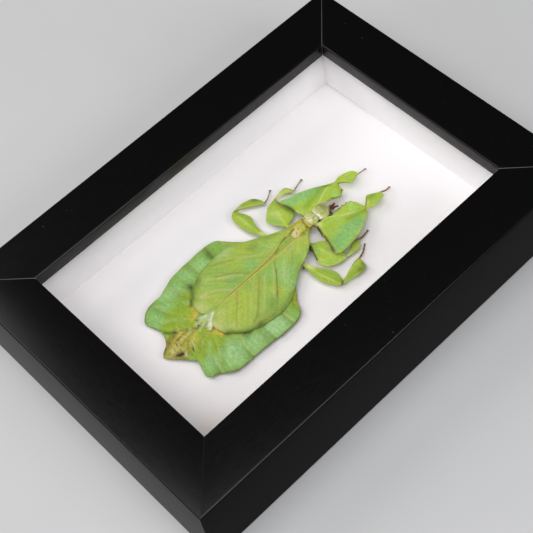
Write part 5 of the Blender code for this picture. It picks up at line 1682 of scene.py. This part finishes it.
face = {
    "antennae": {
        "left": ((-0.6, 30.2, 12.6), (-0.75, 31.3, 13.1), (-0.7, 32.3, 13.2), (-0.95, 33.4, 13.1)),
        "right": ((-0.1, 30.2, 12.6), (0.05, 31.3, 13.1), (0.5, 32.4, 13.2), (1.15, 33.5, 13.2)),
    },
    "palps": (
        ((-1.2, 30.2, 11.9), (-1.5, 31, 11.6), (-1.3, 31.8, 11.2)),
        ((0.2, 30.2, 11.9), (0.7, 31, 11.6), (0.6, 31.8, 11.2)),
        ((-0.8, 30.2, 11.6), (-0.9, 31, 11.2), (-0.8, 31.6, 10.8)),
        ((-0.2, 30.2, 11.6), (0, 31, 11.2), (0, 31.6, 10.8)),
    ),
    # upper lip and jaws: x, y, height, half sizes
    "mouth": (
        (-0.45, 30.8, 12.3, 1.05, 0.9, 0.7), (-0.9, 31.5, 12, 0.5, 0.7, 0.5),
        (0.1, 31.5, 12, 0.5, 0.7, 0.5),
    ),
    "beads": 9,
    "antennaRadius": 0.55,
    "palpRadius": 0.26,
    "brown": (118, 52, 30),
    "lip": (176, 120, 74),
    # colour, centre, half sizes, turn in degrees
    "eyes": {
        "left": ((140, 136, 84), (-4.5, 28.3, 12.7), (0.62, 0.85, 0.7), 20),
        "right": ((60, 38, 12), (1.5, 28.7, 12.9), (0.7, 1.15, 0.75), 42),
    },
    # small dark joints between the body and the legs: radius, then points
    "coxae": (
        (0.34, (5.6, 13.2, 12.2), (6.9, 12, 12), (7.9, 11.6, 11.7), (8.9, 12, 11.5)),
        (0.3, (9.6, 6.2, 11.2), (10.6, 4.9, 11), (11.5, 4, 10.9), (12.1, 3.8, 10.8)),
        (0.3, (-4.8, 13, 12.3), (-5.8, 13.4, 12.3), (-6.8, 13.6, 12.2)),
        (0.42, (0.8, 20.8, 12.6), (2.2, 20.9, 12.6), (3.4, 20.8, 12.8)),
        (0.36, (-4.8, 20.9, 12.6), (-6.2, 21, 12.6), (-7.4, 20.8, 12.8)),
    ),
    "coxa": (92, 74, 40),
}


def tubeForm(form, path, radii, sides=12, flat=1.0):
    # a round tube through points in millimetres, closed at both ends
    points = [Vector(p) for p in path]
    rings = []
    for number, (point, radius) in enumerate(zip(points, radii)):
        forward = (points[min(number + 1, len(points) - 1)] - points[max(number - 1, 0)]).normalized()
        across = forward.cross(Vector((0, 0, 1))).normalized()
        up = across.cross(forward)
        ring = []
        for corner in range(sides):
            angle = 2 * math.pi * corner / sides
            spot = point + (across * math.cos(angle) + up * math.sin(angle) * flat) * radius
            ring.append(form.verts.new(spot))
        rings.append(ring)
    bridge(form, rings)


def beaded(form, line, joints, radius, perJoint=8, flare=0.22, taper=0.25, sides=12):
    # a tube of joints along a curved path, each swelling towards its end; returns its points
    steps = joints * perJoint
    points = through(seenPath(line), np.linspace(0, len(line) - 1, steps + 1))
    radii = []
    for number in range(steps + 1):
        phase = (number % perJoint) / perJoint
        size = 1 + flare * (math.sin(math.pi * min(phase * 1.15, 1)) ** 2 - 0.5) - taper * (number / steps)
        radii.append(radius * (size if phase else size * 0.8))
    radii[0] *= 0.6
    radii[-1] *= 0.5
    tubeForm(form, points, radii, sides)
    return points


def makeForm(name, form, material):
    mesh = meshOf(name, form)
    mesh.transform(Matrix.Scale(mm, 4))
    return finishMesh(name, mesh, material)


def hornFinish(name, color, darker=0.5, rough=0.38):
    # brown horn with darker joints: feet, feelers, mouthparts
    material, tree, shader = startMaterial(name)
    place = millimetres(tree)
    tone = ramp(tree, noiseOf(tree, place, 1.2, 3.0, 0.6), 0.3, 0.7)
    base = mixColor(tree, tone, paint(*color, share=darker), paint(*color))
    relief = bump(tree, noiseOf(tree, place, 6.0, 2.0), 0.03)
    feedAll(tree, shader, {"Base Color": base, "Roughness": rough, "Normal": relief})
    return material


def makeFeet(v, heights):
    finishes = {
        "left": hornFinish("paleHorn", v["pale"], 0.6),
        "right": hornFinish("redHorn", v["red"], 0.55),
    }
    clawFinish = hornFinish("clawHorn", v["claw"], 0.6, rough=0.25)
    for leg, line in v["paths"].items():
        ankle, claws = heights[leg][2:4]
        path = [(x, y, ankle + (claws - ankle) * share) for (x, y), share in zip(line, (0, 0.5, 1))]
        side = leg.split("_")[1]
        form = bmesh.new()
        points = beaded(form, path, v["joints"], v["radius"][side == "right"])
        settle(makeForm(f"foot_{leg}", form, finishes[side]), "dry_brown", f"tarsus_{leg}")
        tip, before = Vector(points[-1]), Vector(points[-5])
        forward = (tip - before).normalized()
        form = bmesh.new()
        for turn in (-v["clawTurn"], v["clawTurn"]):
            turned = forward.copy()
            turned.rotate(Matrix.Rotation(math.radians(turn), 3, "Z"))
            hook = [tip + turned * reach + Vector((0, 0, drop)) for reach, drop, radius in v["hook"]]
            tubeForm(form, hook, [radius for reach, drop, radius in v["hook"]], sides=8)
        settle(makeForm(f"claws_{leg}", form, clawFinish), "dry_brown")
        form = bmesh.new()
        pad = [tip + forward * reach for reach, radius in v["pad"]]
        tubeForm(form, pad, [radius for reach, radius in v["pad"]], flat=0.7)
        settle(makeForm(f"pad_{leg}", form, clawFinish), "dry_brown")


def eyeFinish(name, color):
    material, tree, shader = startMaterial(name)
    place = millimetres(tree)
    facets = addNode(tree, "TexVoronoi", {"Vector": place, "Scale": 14.0})["Distance"]
    tone = noiseOf(tree, place, 1.5, 2.0)
    base = mixColor(tree, tone, paint(*color, share=0.55), paint(*color, share=1.25))
    feedAll(tree, shader, {"Base Color": base, "Roughness": 0.35, "Normal": bump(tree, facets, 0.012)})
    feedAll(tree, shader, {"Coat Weight": 0.25, "Coat Roughness": 0.15})
    return material


def placeOf(centre, sizes, turn=0):
    spin = Matrix.Rotation(math.radians(turn), 4, "Z")
    return Matrix.Translation(Vector(seenAt(*centre) / mm)) @ spin @ Matrix.Diagonal((*sizes, 1))


def eyeForm(centre, sizes, turn):
    # a faceted dome, with a shallow groove and a raised rim where it meets the head
    form = bmesh.new()
    bmesh.ops.create_icosphere(form, subdivisions=4, radius=1)
    for vert in form.verts:
        away = vert.co.normalized()
        facet = noise.cell_vector(away * 9).x - 0.5
        rim, groove = ridge(away.z, -0.25, 0.12), ridge(away.z, -0.05, 0.08)
        vert.co = away * (1 + 0.03 * facet + 0.14 * rim - 0.06 * groove)
    form.transform(placeOf(centre, sizes, turn))
    return form


def makeFace(v):
    horn = hornFinish("feelerHorn", v["brown"], rough=0.3)
    for side, line in v["antennae"].items():
        form = bmesh.new()
        beaded(form, line, v["beads"], v["antennaRadius"], perJoint=6, flare=0.3, taper=0.35)
        settle(makeForm(f"feeler_{side}", form, horn), "dry_brown", f"antenna_{side}")
    form = bmesh.new()
    for line in v["palps"]:
        beaded(form, line, 3, v["palpRadius"], perJoint=6, sides=8)
    for x, y, z, *half in v["mouth"]:
        bmesh.ops.create_icosphere(form, subdivisions=3, radius=1, matrix=placeOf((x, y, z), half))
    lipFinish = hornFinish("lipHorn", v["lip"], 0.65, rough=0.4)
    settle(makeForm("palps", form, lipFinish), "dry_brown", "mouthparts")
    for side, (color, *shape) in v["eyes"].items():
        finish = eyeFinish(f"eyeHorn_{side}", color)
        settle(makeForm(f"glossy_eye_{side}", eyeForm(*shape), finish), "eye_brown", f"eye_{side}")
    form = bmesh.new()
    for radius, *line in v["coxae"]:
        beaded(form, line, 2, radius, taper=0.1)
    rootFinish = hornFinish("rootHorn", v["coxa"], rough=0.5)
    settle(makeForm("leg_roots", form, rootFinish), "dry_brown")


makeFeet(feet, legs["heights"])
makeFace(face)
print("feet, feelers and eyes made")

hindWing = {
    "mesh": (8, 30),
    "sheet": 0.24,
    "root": (0.4, -31.0, 12.9),
    # tips of the folds, x, y, height
    "folds": (
        (-2.7, -38.4, 12.7), (-2, -39.5, 12.4), (-1, -39.1, 12.3), (0, -40, 12.3), (1.1, -39.4, 12.2),
        (2.2, -39.8, 12.4), (3.2, -38.8, 12.5), (4.4, -39.2, 12.7), (5.6, -38, 12.8),
    ),
    "young": (198, 204, 142),
    "old": (140, 178, 112),
    "mint": (166, 198, 158),
    "vein": (206, 196, 96),
    "rim": (190, 186, 130),
    "brown": (150, 120, 60),
    "amber": (220, 182, 80),
    "pale": (222, 224, 196),
    "dark": (84, 108, 56),
    # width, strength, then x, y
    "pales": (
        (0.8, 0.7, (0.8, -33), (2.4, -35.6), (3.6, -37.2)), (0.5, 0.5, (-0.4, -35), (-1, -37.4)),
        (0.9, 0.5, (4.8, -38), (3.6, -36.8)),
    ),
    "ambers": (
        (0.3, 0.6, (0.3, -35.8), (0.2, -38.6)), (0.25, 0.3, (1.3, -36), (1.5, -39)),
        (0.6, 0.6, (-3, -38.4), (-2.4, -37.6)), (0.6, 0.5, (5.4, -38), (5, -37.4)),
    ),
    # painted shadow in the folds and along the left edge
    "darks": (
        (0.5, 0.6, (-1.8, -38.9), (-1.2, -39.4)), (0.4, 0.5, (2, -36.6), (2.6, -38.6)),
        (0.4, 0.35, (0.7, -38.4), (0.8, -39.8)),
    ),
    "mints": ((-1.4, -36.6, 1.5, 1),),
}


def makeHindWing(v):
    # thin folded membrane in the V between the tips of the wing covers
    perFold, along = v["mesh"]
    _, at, tips = stationRows(v["folds"], perFold)
    share = np.linspace(0, 1, along + 1)[:, None]
    root = np.array(v["root"])
    x = root[0] + (tips[:, 0] - root[0]) * share
    y = root[1] + (tips[:, 1] - root[1]) * share
    x = x + 0.3 * (at - at.mean())[None, :] / at.mean() * (1 - share)
    height = root[2] + (tips[:, 2] - root[2]) * share + 0.2 * np.cos(2 * math.pi * at)[None, :] * share
    crinkle = cloud(x, y, 0.9, 2.0)
    gap = (1 - share) * 8 + 0 * x
    half = v["sheet"] / 2 * edgeFullness(gap, 0.3, 0.03)
    pale, amber, dark = allStrokes(x, y, v, "pales", "ambers", "darks")
    fromFold = np.abs((at + 0.5) % 1 - 0.5)[None, :] * share
    layers = skinLayers(
        x,
        (share * 2 + 0 * x, at[None, :] * 1.5),
        tone=0.5 + 0.5 * smooth(0.5, 3, np.abs(x - 1)),
        dark=dark,
        vein=fromFold * 1.6 + 0.1 + 0.3 * smooth(0, 0.4, crinkle),
        margin=gap,
        pale=pale * (1 + 1.1 * crinkle),
        amber=amber,
        mint=spots(x, y, v["mints"]),
    )
    finish = leafFinish("hindWingSkin", v, veinWidth=0.16, rimWidth=0.25, netSize=0.7, depth=0.05)
    piece = closedSheet("hind_wing", x, y, height + 0.2 * crinkle, half, layers, finish)
    return settle(piece, "wing_green")


makeHindWing(hindWing)
print("hind wing made")
